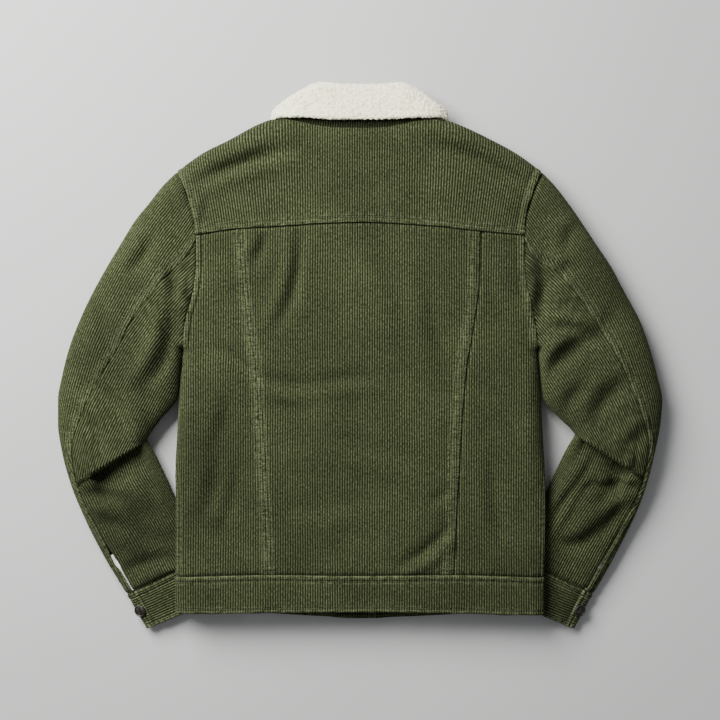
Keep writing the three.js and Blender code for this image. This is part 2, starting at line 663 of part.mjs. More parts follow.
parts.push(wall("collar_sherpa", sherpa, steps(40), [0, 0.13, 0.26, 0.38, 0.44, 0.5, 0.56, 0.62, 0.75, 0.88, 1],
  (u, v) => collarPoint(mix(-8, 8, u), v), pileWall, true));
parts.push(wall("collar_stand", corduroy, steps(20), steps(3), (u, v) => {
  const t = mix(-2.1, 2.1, u);
  const f = collarFrame(t);
  const p = collarPoint(t, mix(0, 0.2, v));
  return p.add(new THREE.Vector3(0, 0.75, (pileWall + 0.6) / f.across.z + standWall));
}, standWall, false));

// centre the whole jacket on the origin, lowest point on the surface
const group = new THREE.Group();
const box = new THREE.Box3();
parts.forEach((mesh) => {
  mesh.geometry.computeBoundingBox();
  box.union(mesh.geometry.boundingBox);
});
const move = box.getCenter(new THREE.Vector3());
parts.forEach((mesh) => {
  mesh.geometry.translate(-move.x, -move.y, -box.min.z);
  group.add(mesh);
});

export default group;
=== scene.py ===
import math

import bmesh
import bpy
import numpy as np
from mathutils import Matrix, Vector


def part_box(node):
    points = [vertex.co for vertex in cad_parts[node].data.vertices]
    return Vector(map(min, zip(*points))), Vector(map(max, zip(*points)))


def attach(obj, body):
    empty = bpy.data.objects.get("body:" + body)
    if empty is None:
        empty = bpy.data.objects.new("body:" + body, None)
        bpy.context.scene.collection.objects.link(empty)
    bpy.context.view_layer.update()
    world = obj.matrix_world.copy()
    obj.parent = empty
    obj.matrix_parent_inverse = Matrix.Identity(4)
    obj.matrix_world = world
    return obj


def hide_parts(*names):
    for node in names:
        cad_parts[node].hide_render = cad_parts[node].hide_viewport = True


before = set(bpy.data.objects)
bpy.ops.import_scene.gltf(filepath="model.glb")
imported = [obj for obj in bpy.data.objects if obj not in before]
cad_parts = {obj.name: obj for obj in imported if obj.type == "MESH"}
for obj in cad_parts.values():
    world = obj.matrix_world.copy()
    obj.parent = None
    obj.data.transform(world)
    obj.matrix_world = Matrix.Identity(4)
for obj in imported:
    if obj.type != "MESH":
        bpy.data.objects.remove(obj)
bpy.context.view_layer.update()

# A corduroy jacket laid on its front, seen from straight above.
# Plan sizes are in millimetres: x across, y from hem to collar, z up from the surface.
print("frame loaded")


def table(names, rows):
    # the columns of a list of rows, by name
    return dict(zip(names.split(), np.array(rows, float).T))


# outlines and seams of the body in plan
bodySide = table("y left right", [
    (-338, -237.5, 236.5), (-287, -237.5, 237), (-196, -237.5, 239.5), (-146, -238.5, 238.5),
    (-83, -235.5, 235.5), (-42, -233.5, 233.5), (8, -229, 230),
])
armhole = table("y left right", [
    (8, -229, 230), (28, -227.5, 227.5), (50, -224.5, 224), (75, -217.5, 219), (98, -213.2, 213.5),
    (125, -211.3, 212), (159, -212, 212), (180, -215, 213.5), (204, -222, 220.5), (230, -232, 230.5),
    (239, -237.3, 235.5),
])
backTop = table("x y", [
    (-237.3, 239), (-221, 251), (-200, 265), (-169, 280), (-130, 300), (-113, 306), (-97, 308),
    (-80, 305.5), (-56, 300.3), (-30, 297.7), (0, 297.2), (27, 297.7), (52, 301.6), (77, 306.8),
    (92, 308), (110, 305), (130, 298), (168, 281), (200, 264), (235.5, 239),
])
frontNeck = table("x y", [
    (0, 214), (20, 215), (50, 226), (80, 250), (100, 279), (113, 305),
])
yokeSeam = table("x y", [
    (-212, 157.4), (-161, 165), (-99, 168.8), (-47, 172.2), (0, 173.5), (96, 168.8), (146, 163.1),
    (212, 157.4),
])
princessSeam = table("y left right", [
    (-286, -118, 120), (-228, -121, 123), (-150, -125.5, 127.5), (-80, -130, 131.5),
    (-4, -135.5, 138.5), (20, -141, 143), (100, -151, 153.5), (166, -156, 155),
])
waistTop = table("x y", [
    (-238, -286.5), (-118, -283.6), (0, -284.7), (116, -283.6), (238, -287.3),
])
backHem = table("x y", [
    (-238, -333), (0, -330.2), (238, -334.6),
])
frontHem = table("x y", [
    (-238, -333.4), (-140, -336), (-60, -340.5), (0, -343), (60, -341.5), (150, -337.2), (238, -335),
])
# patches where the cloth is darker, or lighter where share is under 0: partly nap laid another way, partly painted
# shade and painted light
napAndPaintedLightSpots = table("x y reach share", [
    (-298, -226, 55, 0.32), (-192, -100, 48, 0.15), (-190, -190, 55, 0.17), (-330, 20, 50, 0.1),
    (325, 25, 50, -0.17),
])
# Troughs (depth over 0) and ridges (under 0) of the upper layers, from one end to the other, in plan.
# bend pushes the middle sideways; width is the half width; lip raises the far side of a trough.
topFolds = table("x0 y0 x1 y1 bend width depth lip", [
    (-206, 226, -86, 266, 6, 9, 10, 0.35), (212, 220, 84, 274, -8, 9, 7.5, 0.5),
    (-198, 205, -203, 170, 2, 7, 2.2, 0.5), (-120, 160, -137, 118, 2, 8, 3.2, 0.7),
    (-78, 168, -108, 36, 12, 9, 3.4, 0.8), (-60, 150, -70, 60, -6, 8, -1.2, 0.2),
    (-132, -26, -60, -38, -4, 9, 4.2, 0.9), (-62, -36, 20, -30, 3, 8, 3.4, 0.9),
    (-188, 12, -134, -26, 5, 10, 3.6, 0.6), (-140, -20, -180, 16, 3, 6, 1.2, 0.6),
    (-172, -50, -190, -120, 6, 11, 2.4, 0.5), (-186, -120, -198, -205, 6, 12, 3.2, 0.5),
    (-160, -146, -182, -225, 6, 9, 1.8, 0.4), (50, -270, 116, -220, -5, 8, 5.0, 0.7),
    (86, -192, 114, -172, -2, 6, 2.6, 0.6), (24, 130, 58, 30, 8, 14, 1.7, 0.5),
    (90, 120, 120, -30, -8, 12, 1.8, 0.5), (148, -36, 208, -96, 6, 11, 2.6, 0.5),
    (172, -126, 188, -245, -5, 12, 2.4, 0.5), (40, -20, 110, -60, 6, 12, 1.4, 0.6),
    (-70, -108, 66, -130, 6, 14, 1.6, 0.6), (-92, -196, 30, -172, -8, 13, 1.5, 0.6),
    (-205, -215, -128, -266, 5, 11, 2.0, 0.5), (-70, 198, 40, 212, 6, 15, 1.4, 0.5),
    (70, 205, 170, 190, -5, 14, 1.6, 0.5), (150, 150, 190, 60, -5, 11, 1.8, 0.5),
    (-268, 158, -296, 108, 5, 10, 4.6, 0.6), (-243, 54, -272, -36, 9, 11, 6.5, 0.7),
    (-240, 120, -226, 52, 3, 6, -3.4, 0.3), (-246, 118, -236, 84, 3, 8, 3.6, 0.3),
    (-338, 66, -300, -10, -8, 11, 4.4, 0.5), (-318, 96, -268, 30, -5, 10, 3.0, 0.6),
    (-356, -34, -300, -98, 9, 12, 4.6, 0.6), (-368, -62, -330, -120, 6, 9, 2.6, 0.6),
    (-290, -40, -262, -86, 6, 11, 3.6, 0.5), (-356, -178, -308, -197, 5, 9, 5.2, 0.6),
    (-330, -204, -262, -206, -6, 11, 2.2, 0.6), (-318, -252, -250, -236, 4, 10, 2.6, 0.6),
    (-286, -158, -262, -196, 4, 9, 2.4, 0.5), (-306, -280, -240, -262, 5, 9, 3.6, 0.5),
    (243, 124, 229, 44, 0, 9, 6.4, 0.5), (246, 50, 300, 36, 4, 8, -4.6, 0.5),
    (296, 22, 240, -36, -9, 11, 6.5, 0.7), (332, 74, 290, 10, 7, 11, 2.0, 0.5),
    (276, 118, 250, 92, -4, 9, 2.8, 0.6), (352, -28, 300, -88, -9, 12, 4.0, 0.6),
    (380, -90, 338, -130, -6, 9, 3.0, 0.6), (290, -38, 262, -84, -6, 10, 3.6, 0.5),
    (304, -138, 254, -204, 6, 9, 4.2, 0.7), (358, -196, 290, -232, -7, 10, 3.8, 0.7),
    (330, -168, 296, -196, 5, 9, 2.4, 0.6), (318, -254, 250, -242, -4, 9, 2.6, 0.6),
    (288, 172, 262, 132, -5, 10, 3.4, 0.6), (308, -142, 252, -228, -3, 6, -4.0, 0.5),
    (367, -172, 290, -169, -3, 6, 4.0, 0.7), (338, -202, 272, -244, 6, 8, 4.6, 0.7),
    (-345, -165, -288, -170, -4, 6, -2.2, 0.5), (-338, -219, -280, -235, 4, 10, 5.4, 0.6),
    (-272, -212, -246, -200, 2, 7, 2.0, 0.5), (-158, -30, -156, -262, 0, 24, 3.6, 0.0),
    (-295, -181, -268, -256, 0, 16, 4.0, 0.2), (-237, 117, -224, 72, -2, 4, -2.6, 0.5),
    (-252, 108, -236, 70, 2, 7, 2.6, 0.4), (240, 132, 226, 92, -4, 8, 3.0, 0.5),
])


def mix(a, b, t):
    # straight line from a at t = 0 to b at t = 1
    return a + (b - a) * t


def ease(t):
    # smooth step: 3 t squared less 2 t cubed, kept between 0 and 1
    c = np.clip(t, 0, 1)
    return c * c * (3 - 2 * c)


def bell(d, at, wide):
    # 1 at one place, falling off on both sides as e to the minus square of the distance in widths
    return np.exp(-((d - at) / wide) ** 2)


def unit(vectors):
    # each vector over its own length
    return vectors / np.maximum(np.linalg.norm(vectors, axis=-1, keepdims=True), 1e-9)


def arcOf(points):
    # length along each row of points, from its first: the running sum of the distances between neighbours
    steps = np.linalg.norm(np.diff(points, axis=-2), axis=-1)
    return np.concatenate([np.zeros(points.shape[:-2] + (1,)), np.cumsum(steps, -1)], -1)


def read(rows, key, column, at):
    # cubic pieces through the rows that never swing past them: each slope is the harmonic mean of its two sides
    xs, ys = rows[key], rows[column]
    d = np.diff(ys) / np.diff(xs)
    m = np.concatenate([[d[0]], np.zeros(len(d) - 1), [d[-1]]])
    same = d[:-1] * d[1:] > 0
    m[1:-1][same] = 2 * d[:-1][same] * d[1:][same] / (d[:-1] + d[1:])[same]
    i = np.clip(np.searchsorted(xs, at, side="right") - 1, 0, len(d) - 1)
    span = xs[i + 1] - xs[i]
    t = np.clip((at - xs[i]) / span, 0, 1)
    return mix(ys[i], ys[i + 1], t * t * (3 - 2 * t)) + span * t * (1 - t) * ((1 - t) * m[i] - t * m[i + 1])


# the two layers of the body, before they are cut into panels
body = {
    "height": 43.5,          # the back layer at the middle
    "crown": 0.00003,        # how it falls off with the square of x
    "neckDip": 4.0,
    "sideRoll": 20.0,        # radii over which the layers close, at the sides and the shoulders
    "shoulderRoll": 22.0,
    "underarmY": 8.0,
    "armholeSlope": 2.2,     # above the underarm the side roll fades as if the side stood this much further out a mm
    "placketHalf": 20.0,
    "placketRise": 5.0,      # buttons, collar leaves and tucked cuffs that lift the front layer
    "leafRise": 15.0,
    "cuffLift": 27.0,
    "seamGap": 0.36,
    "edgeGap": 0.15,         # half the gap that is left where the layers meet
    "foldDepth": 1.45,       # every fold's depth times this
}
# where each lift of the front layer starts and how wide its smooth step is, out from the middle, up or down
beneath = {
    "placketOut": (24, 16), "leavesUp": (118, 50), "leavesOut": (126, 62), "cuffsOut": (150, 42), "cuffsDown": (108, 78),
}


def step(name, at):
    # smooth step of one lift, 0 before its start and 1 past its width
    start, width = beneath[name]
    return ease((at - start) / width)


def frontLow(x, y):
    # outer side of the front layer: on its own wales, raised over buttons, collar leaves and tucked cuffs
    w = np.abs(x)
    placket = body["placketRise"] * (1 - step("placketOut", w))
    leaves = body["leafRise"] * step("leavesUp", y) * (1 - step("leavesOut", w))
    cuffs = body["cuffLift"] * step("cuffsOut", w) * step("cuffsDown", -y)
    return cloth["ribHeight"] + np.maximum(placket, leaves) + cuffs


def backHigh(x, y):
    # outer side of the back layer without its folds: a slight crown, lower in a bell at the neck seam
    neck = bell(read(backTop, "x", "y", x) - y, 0, 10) * (1 - ease((np.abs(x) - 98) / 30))
    return body["height"] - body["crown"] * x * x - body["neckDip"] * neck


def foldHeight(x, y):
    # slow crossed waves, and each fold: a bell across its bent line, faded at both ends by a power of a sine,
    # with a lower bell of the other sign beside it
    total = 0.8 * np.sin(x / 31 + y / 57) * np.sin(y / 43 - x / 71)
    total = total + 0.5 * np.sin(x / 15 - y / 27 + 2) * np.sin(y / 21 + x / 33)
    for x0, y0, x1, y1, bend, width, depth, lip in zip(*topFolds.values()):
        long = math.hypot(x1 - x0, y1 - y0)
        ux, uy = (x1 - x0) / long, (y1 - y0) / long
        t = ((x - x0) * ux + (y - y0) * uy) / long
        inside = np.clip(t, 0, 1)
        off = (x - x0) * -uy + (y - y0) * ux - bend * 4 * inside * (1 - inside)
        fade = np.sin(np.pi * np.clip((t + 0.15) / 1.3, 0, 1)) ** 1.3
        raised = lip * bell(np.abs(off), 1.7 * width, width) * (off < 0)
        total = total - body["foldDepth"] * depth * fade * (bell(off, 0, width) - raised)
    return total


def rollOver(distance, radius):
    # quarter circle: 0 at the edge, 1 from a radius in
    t = np.clip(distance / radius, 0, 1)
    return np.sqrt(1 - (1 - t) ** 2)


def edgeX(y, side):
    # the body's outline: the armhole above the underarm, the side below it
    return np.where(y > body["underarmY"], read(armhole, "y", side, y), read(bodySide, "y", side, y))


def bodyRoll(x, y):
    # a quarter circle in from the nearer side, times one down from the shoulder's edge, left out along the neck
    low = np.minimum(y, body["underarmY"])
    spread = np.maximum(0, y - body["underarmY"]) * body["armholeSlope"]
    left = x - (read(bodySide, "y", "left", low) - spread)
    right = read(bodySide, "y", "right", low) + spread - x
    lean = 1 + 0.25 * ease((np.abs(x) - 113) / 40)
    top = rollOver(read(backTop, "x", "y", x) - y, body["shoulderRoll"] * lean)
    return rollOver(np.minimum(left, right), body["sideRoll"]) * mix(1, top, ease((np.abs(x) - 98) / 16))


def bodyZ(x, y, layer, folds=True):
    # both layers leave the middle height by the same roll, so they meet at the side and the shoulder
    high, low, roll = backHigh(x, y), frontLow(x, y), bodyRoll(x, y)
    half = (high - low) / 2
    z = (high + low) / 2 + layer * (body["edgeGap"] + (half - body["edgeGap"]) * roll)
    return z + foldHeight(x, y) * roll ** 2 * (layer > 0) if folds else z


# place of the part's own zero in the frame, from the front button that was put at x 0, y 195
firstButtonY = 195
buttonLow, buttonHigh = (np.array(c) * 1000 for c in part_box("front_button_1"))
shift = np.array([(buttonLow[0] + buttonHigh[0]) / 2, (buttonLow[1] + buttonHigh[1]) / 2 - firstButtonY, 0.0])

cloth = {
    "ribPitch": 3.2,         # one wale to the next
    "ribHeight": 1.15,
    "pointsPerRib": 4,
    "rowStep": 6.6,          # between rows of points along a wale
    "shellThickness": 1.0,
    "wander": 0.22,          # how far the wales stray sideways
}
# Each kind of seam, by the distance in from it. over: a raised stitched edge. armhole: the same above the underarm.
# felled, wide: flat double seams. edge: a stitched hem. tucked: goes down under its neighbour.
# raised: height and end of its flat step. sunk: place, depth and width of its lines. pucker: share, place and width.
# crushed: where its wales are pressed down. Painted light and shade beside the seam: place of the stitches, depth of
# the painted shade in their sunk line, and the light beside them, partly rubbed nap and partly painted highlight.
seamKinds = {
    "over": {"raised": (1.3, 7), "sunk": [(0, 0.7, 0.8), (7.2, 1.5, 1)], "pucker": [(1, 7.2, 5)],
             "crushed": [0, 7.2], "rubAndPaintedLight": (7.2, 0.5, 0.12)},
    "armhole": {"raised": (1.3, 7), "sunk": [(0, 0.7, 0.8), (8.6, 1.5, 2.2)], "pucker": [(0.9, 5, 5)],
                "crushed": [0, 7.2], "rubAndPaintedLight": (7.2, 0.35, 0.2)},
    "felled": {"raised": (0.7, 6), "sunk": [(0, 0.5, 0.8), (5.4, 1.3, 0.9)], "pucker": [(1.5, 5, 4)],
               "crushed": [0, 5.4], "rubAndPaintedLight": (5.4, 0.2, 0.2)},
    "wide": {"raised": (0.9, 12), "sunk": [(0, 1.3, 0.8), (2, 0.8, 0.8), (11.5, 1.3, 0.9)],
             "pucker": [(1.5, 11.5, 4), (0.8, 3, 3)], "crushed": [0, 2, 11.5], "rubAndPaintedLight": (11.5, 0.2, 0.2)},
    "edge": {"sunk": [(0, 0.9, 1.1), (5.5, 0.9, 1)], "pucker": [(0.7, 5.5, 5)], "crushed": [0, 5.5],
             "rubAndPaintedLight": (5.5, 0.45, 0.2)},
    "tucked": {"sunk": [(0, 2.6, 3.4)], "pucker": [(0.8, 5, 5)], "crushed": [0, 1.5]},
    "joined": {"sunk": [(0, 1.8, 2.6)], "pucker": [(0.6, 0, 6)], "crushed": [0]},
    "plain": {},
}


def ribShape(phase):
    # 0 in the groove, 1 along the crown, with a broad top: a low power of a sine
    return np.sin(np.pi * (phase % 1)) ** 0.7


def lap(d, kind, t, y):
    # relief beside a seam, d in from it and t along it: a flat step, less a bell for each sunk line,
    # plus slow waves of pucker in bells beside the stitches
    seam = seamKinds[kind]
    bump = 0.42 * np.sin(t * 0.72 + 1.3 * np.sin(t * 0.11)) + 0.24 * np.sin(t * 1.51 + 2) + 0.25 * np.sin(t * 0.31 + 1)
    high, end = seam.get("raised", (0, 0))
    relief = high * (1 - ease((d - end) / 3))
    for at, deep, wide in seam.get("sunk", []):
        relief = relief - deep * bell(d, at, wide)
    for share, at, wide in seam.get("pucker", []):
        relief = relief + share * bump * bell(d, at, wide)
    return mix(-0.6 * bell(d, 0, 1.2), relief, ease((y - 12) / 12)) if kind == "armhole" else relief


def rubbed(d, kind):
    # over 0 where a seam puckers the nap and rubs it lighter, with painted highlight on the puckers and along the
    # raised edge; under 0 a painted shade in the sunk line of its stitches: a sum of bells
    if "rubAndPaintedLight" not in seamKinds[kind]:
        return 0 * d
    stitched, sunk, flat = seamKinds[kind]["rubAndPaintedLight"]
    # lighter over the lapped band, with a painted highlight along its raised edge
    lapped = flat * bell(d, stitched / 2, 0.45 * stitched) + 0.45 * bell(d, 0.9, 0.9)
    beside = 0.38 * bell(d, stitched + 1.7, 1.2) + flat * bell(d, stitched - 1.7, 1.2)
    # darker in the stitches' sunk line: painted shade
    return lapped + beside - sunk * 1.6 * bell(d, stitched, 0.8)


def crushed(d, kind):
    # how much of the wales' height is left beside a seam: 1 less a bell at each line, multiplied
    left = 1 + 0 * d
    for at in seamKinds[kind].get("crushed", []):
        left = left * (1 - 0.7 * bell(d, at, 1.1))
    return left


def rowsFor(length, step, near=(0, 0.8, 1.8, 3.2, 5.0, 6.6, 7.8, 9.4, 12.0)):
    # shares from 0 to 1, close together near both ends, where seams are
    near = np.array(near, float)
    count = max(2, int(round((length - 2 * near[-1]) / step)) + 1)
    middle = np.linspace(near[-1], length - near[-1], count)
    return np.concatenate([near[:-1], middle, (length - near[:-1])[::-1]]) / length


skins = {}   # each panel's surface without wales, for its stitches


def ribbed(name, pointAt, waleAt, low, high, rows, kinds, outward, perRib=None):
    # A cloth panel. waleAt gives every point of a row its place across the wales, in mm.
    # Columns stand at equal steps of that place and stop at the panel's edges, so each wale runs unbroken to a seam.
    # The wales stand up from the skin along its normal; the inner face has one column a wale.
    perRib = perRib or cloth["pointsPerRib"]
    step = cloth["ribPitch"] / perRib
    lowAt, highAt = low(rows), high(rows)
    share = (1 - np.cos(np.pi * np.linspace(0, 1, 221))) / 2
    v = rows[:, None]
    across = mix(lowAt[:, None], highAt[:, None], share[None, :])
    wales = waleAt(across, v + 0 * across)
    k0 = math.floor(wales[:, 0].min() / step / perRib) * perRib
    k1 = math.ceil(wales[:, -1].max() / step / perRib) * perRib
    marks = np.arange(k0, k1 + 1) * step
    first = np.clip((marks[None, :] <= wales[:, :1]).sum(1) - 1, 0, len(marks) - 1)
    last = np.clip((marks[None, :] < wales[:, -1:]).sum(1), 0, len(marks) - 1)
    place = np.clip(marks[None, :], wales[:, :1], wales[:, -1:])
    a = np.stack([np.interp(place[r], wales[r], across[r]) for r in range(len(rows))])
    v = v + 0 * a
    point = pointAt(a, v)
    da, dv = (highAt - lowAt)[:, None] * 1e-3, 1e-3
    aLow, aHigh = np.maximum(a - da, lowAt[:, None]), np.minimum(a + da, highAt[:, None])
    up = unit(np.cross(pointAt(aHigh, v) - pointAt(aLow, v),
                       pointAt(a, np.minimum(v + dv, 1)) - pointAt(a, np.maximum(v - dv, 0)))) * outward
    run = np.linalg.norm(np.diff(point, axis=0), axis=2)
    along = np.concatenate([np.zeros((1, run.shape[1])), np.cumsum(run, 0)])

    # relief, pressed wales, and rubbed nap with painted highlight and shade, of the four seams: at the start and end of
    # the rows, at their low and high side
    far = [along, along[-1:] - along, place - wales[:, :1], wales[:, -1:] - place]
    relief, crush, rubAndPaintedLight = 0 * place, 1 + 0 * place, 0 * place
    for d, kind, t in zip(far, kinds, [place, place, along, along]):
        relief = relief + lap(d, kind, t, point[..., 1])
        crush, rubAndPaintedLight = crush * crushed(d, kind), rubAndPaintedLight + rubbed(d, kind)
    relief = relief * np.clip(np.abs(up[..., 2]) * 1.5, 0, 1)
    wander = cloth["wander"] * (np.sin(along / 37 + place / 41) + 0.6 * np.sin(along / 13 + place / 17))
    side = unit(np.cross(up, np.gradient(point, axis=0)))
    inner = ease(np.minimum(far[2], far[3]) / 4)
    skin = point + up * relief[..., None]
    height = cloth["ribHeight"] * ribShape(place / cloth["ribPitch"]) * crush
    outerFace = skin + up * height[..., None] + side * (wander * inner)[..., None]
    innerFace = skin - up * cloth["shellThickness"]
    uv = np.stack([place, along[:, along.shape[1] // 2][:, None] + 0 * place], -1) / cloth["ribPitch"]
    # the listed spots' darkening, partly the nap's own tone and partly painted shade and painted light
    napAndPaintedLight = sum(share * np.exp(-((point[..., 0] - x) ** 2 + (point[..., 1] - y) ** 2) / reach ** 2)
              for x, y, reach, share in zip(*napAndPaintedLightSpots.values()))

    # the two faces: every column outside, one column a wale inside
    index = np.arange(len(rows))[:, None] * len(marks)
    fine = index + np.clip(np.arange(len(marks))[None, :], first[:, None], last[:, None])
    coarse = index + np.clip(np.arange(0, len(marks), perRib)[None, :], first[:, None], last[:, None])
    coarse = coarse + point.shape[0] * point.shape[1]
    corners = []

    def keep(cells, flip):
        corners.append(cells[:, ::-1] if flip else cells)

    for net, flip in ((fine, outward < 0), (coarse, outward > 0)):
        keep(np.stack([net[:-1, :-1], net[:-1, 1:], net[1:, 1:], net[1:, :-1]], -1).reshape(-1, 4), flip)
    # the rim: one quad a row at each side, and a fan of triangles a wale at each end
    for net, other, flip in ((fine[:, 0], coarse[:, 0], outward > 0), (fine[:, -1], coarse[:, -1], outward < 0)):
        keep(np.stack([net[:-1], net[1:], other[1:], other[:-1]], -1), flip)
    for row, flip in ((0, outward < 0), (-1, outward > 0)):
        f, c, middle = fine[row], coarse[row], perRib // 2
        for j in range(perRib):
            a0, a1 = f[j:-1:perRib], f[j + 1::perRib]
            keep(np.stack([a0, c[:-1] if j < middle else c[1:], a1, a1], -1), flip)
        keep(np.stack([f[middle:-1:perRib], c[:-1], c[1:], c[1:]], -1), flip)
    points = np.concatenate([outerFace.reshape(-1, 3), innerFace.reshape(-1, 3)])
    marksOf = {"rubAndPaintedLight": np.tile(rubAndPaintedLight.ravel(), 2), "napAndPaintedLight": np.tile(napAndPaintedLight.ravel(), 2)}
    piece = meshFrom(name, points, np.concatenate(corners), np.tile(uv.reshape(-1, 2), (2, 1)), marksOf)
    skins[name] = {"skin": skin, "up": up, "far": far, "first": first, "last": last}
    area = np.linalg.norm(np.cross(point[:-1, 1:] - point[:-1, :-1], point[1:, :-1] - point[:-1, :-1]), axis=2).sum() / 1e6
    wide, tall = np.ptp(wales[:, [0, -1]], axis=1).max(), along[-1].max()
    print(f"{name}: {len(piece.data.polygons)} faces, flat {wide:.0f} x {tall:.0f} mm, {area:.4f} m2")
    return piece


def meshFrom(name, points, cells, uv, marksOf=None):
    # four corners a cell into a smooth mesh, in metres; a cell with two equal corners is a triangle, and fewer is left out
    mesh = bpy.data.meshes.new(name)
    same = cells == np.roll(cells, -1, 1)
    cells, same = cells[same.sum(1) < 2], same[same.sum(1) < 2]
    cross = (cells[:, 0] == cells[:, 2]) | (cells[:, 1] == cells[:, 3])
    cells, same = cells[~cross], same[~cross]
    used, back = np.unique(cells, return_inverse=True)
    cells = back.reshape(cells.shape)
    keep = ~same
    loops, sizes = cells[keep], keep.sum(1)
    mesh.vertices.add(len(used))
    points = points[used]
    points[:, 2] = np.maximum(points[:, 2], 0)   # pressed flat where it lies on the surface
    mesh.vertices.foreach_set("co", ((points + shift) / 1000).ravel())
    mesh.loops.add(len(loops))
    mesh.loops.foreach_set("vertex_index", loops)
    mesh.polygons.add(len(sizes))
    mesh.polygons.foreach_set("loop_start", np.concatenate([[0], np.cumsum(sizes)[:-1]]))
    mesh.polygons.foreach_set("use_smooth", np.ones(len(sizes), bool))
    mesh.update(calc_edges=True)
    layer = mesh.uv_layers.new(name="wale")
    layer.data.foreach_set("uv", uv[used][loops].ravel())
    for mark, values in (marksOf or {}).items():
        mesh.attributes.new(mark, "FLOAT", "POINT").data.foreach_set("value", values[used])
    mesh.validate()
    piece = bpy.data.objects.new(name, mesh)
    bpy.context.collection.objects.link(piece)
    return piece


def bodyPanel(name, leftOf, rightOf, lowOf, highOf, layer, kinds, perRib=None, rowStep=None, fan=0):
    # wales run up the body: x is one wale's place, and y goes from the lower line to the upper one
    def pointAt(x, v):
        y = mix(lowOf(x), highOf(x), v)
        return np.stack([x, y, bodyZ(x, y, layer)], -1)

    def waleAt(x, v):
        # x near the middle of the back, growing with the arc over a side roll; fan leans the outer wales out as they rise
        y = mix(lowOf(x), highOf(x), v)
        arc = arcOf(np.stack([x, bodyZ(x, y, layer, False)], -1))
        middle = np.argmin(np.abs(x), 1)[:, None]
        level = arc + np.take_along_axis(x, middle, 1) - np.take_along_axis(arc, middle, 1)
        return level - fan * np.sign(x) * ease((np.abs(x) - 60) / 160) * (y - 165)

    def sideOf(limit):
        # x of a side line at each row: the line is read at the row's own y until both agree
        def at(v):
            x = limit(mix(lowOf(0 * v), highOf(0 * v), v)) + 0 * v
            for _ in range(14):
                x = limit(mix(lowOf(x), highOf(x), v)) + 0 * v
            return x
        return at

    middle = np.array([0.5])
    x = (sideOf(leftOf)(middle) + sideOf(rightOf)(middle)) / 2
    rows = rowsFor(float((highOf(x) - lowOf(x))[0]), rowStep or cloth["rowStep"])
    return ribbed(name, pointAt, waleAt, sideOf(leftOf), sideOf(rightOf), rows, kinds, layer, perRib)


def lineAt(rows, by):
    # a line across the body, moved up by a distance
    return lambda x: read(rows, "x", "y", x) + by


def seamX(side, by):
    # a long back seam, moved sideways
    return lambda y: read(princessSeam, "y", side, y) + by


def outerX(side, by):
    # the body's outline, moved sideways at the armhole only
    return lambda y: edgeX(y, side) + by * (y > body["underarmY"])


def bandX(side):
    # the waistband's side, on the body's
    return lambda y: read(bodySide, "y", side, y)


def fixedX(value):
    # an upright line
    return lambda y: value + 0 * y


def frontTop(x):
    # upper edge of the fronts: the neckline out to the collar's end, then the shoulder
    return np.where(np.abs(x) < 113, read(frontNeck, "x", "y", np.abs(x)), read(backTop, "x", "y", x))


def yokeTop(x):
    # upper edge of the yoke: the shoulder line, lowered by a smooth step along the neck
    return read(backTop, "x", "y", x) - 3.2 * (1 - ease((np.abs(x) - 104) / 14))


# Each panel: left and right line, lower and upper line, layer, then its seams at the start and end of the rows and at
# the low and high side. Wales and rows are coarser below.
halfGap, seamLap = body["seamGap"] / 2, 1.5   # an upper edge lies seamLap over its neighbour
placketEdge = body["placketHalf"]
coarseWale, coarseRow = 3, 11
pieces = {}
pieces["back_yoke"] = bodyPanel(
    "yoke_back", outerX("left", halfGap), outerX("right", -halfGap), lineAt(yokeSeam, halfGap - seamLap), yokeTop, 1,
    ("over", "plain", "armhole", "armhole"), fan=0.2)
pieces["back_center"] = bodyPanel(
    "back_middle", seamX("left", 2 * halfGap), seamX("right", -2 * halfGap), lineAt(waistTop, halfGap),
    lineAt(yokeSeam, -halfGap), 1, ("tucked", "tucked", "felled", "wide"))
pieces["back_side_left"] = bodyPanel(
    "back_side_l", outerX("left", halfGap), seamX("left", -halfGap), lineAt(waistTop, halfGap),
    lineAt(yokeSeam, -halfGap), 1, ("tucked", "tucked", "armhole", "felled"))
pieces["back_side_right"] = bodyPanel(
    "back_side_r", seamX("right", halfGap), outerX("right", -halfGap), lineAt(waistTop, halfGap),
    lineAt(yokeSeam, -halfGap), 1, ("tucked", "tucked", "tucked", "armhole"))
pieces["front_left"] = bodyPanel(
    "front_l", outerX("left", halfGap), fixedX(-placketEdge - halfGap), lineAt(waistTop, halfGap), frontTop, -1,
    ("joined", "plain", "armhole", "joined"), coarseWale, coarseRow)
pieces["front_right"] = bodyPanel(
    "front_r", fixedX(placketEdge + halfGap), outerX("right", -halfGap), lineAt(waistTop, halfGap), frontTop, -1,
    ("joined", "plain", "joined", "armhole"), coarseWale, coarseRow)
pieces["front_placket"] = bodyPanel(
    "placket", fixedX(-placketEdge + halfGap), fixedX(placketEdge - halfGap), lineAt(waistTop, halfGap), frontTop, -1,
    ("joined", "plain", "edge", "edge"), 4, 9)
pieces["waistband_back"] = bodyPanel(
    "band_back", bandX("left"), bandX("right"), lineAt(backHem, 0), lineAt(waistTop, seamLap - halfGap), 1,
    ("edge", "over", "plain", "plain"))
pieces["waistband_left"] = bodyPanel(
    "band_front_l", bandX("left"), fixedX(placketEdge - halfGap), lineAt(frontHem, 0), lineAt(waistTop, -halfGap), -1,
    ("edge", "over", "plain", "edge"), coarseWale)
pieces["waistband_right"] = bodyPanel(
    "band_front_r", fixedX(placketEdge + halfGap), bandX("right"), lineAt(frontHem, 0), lineAt(waistTop, -halfGap), -1,
    ("edge", "over", "joined", "plain"), coarseWale)
print("body panels made")


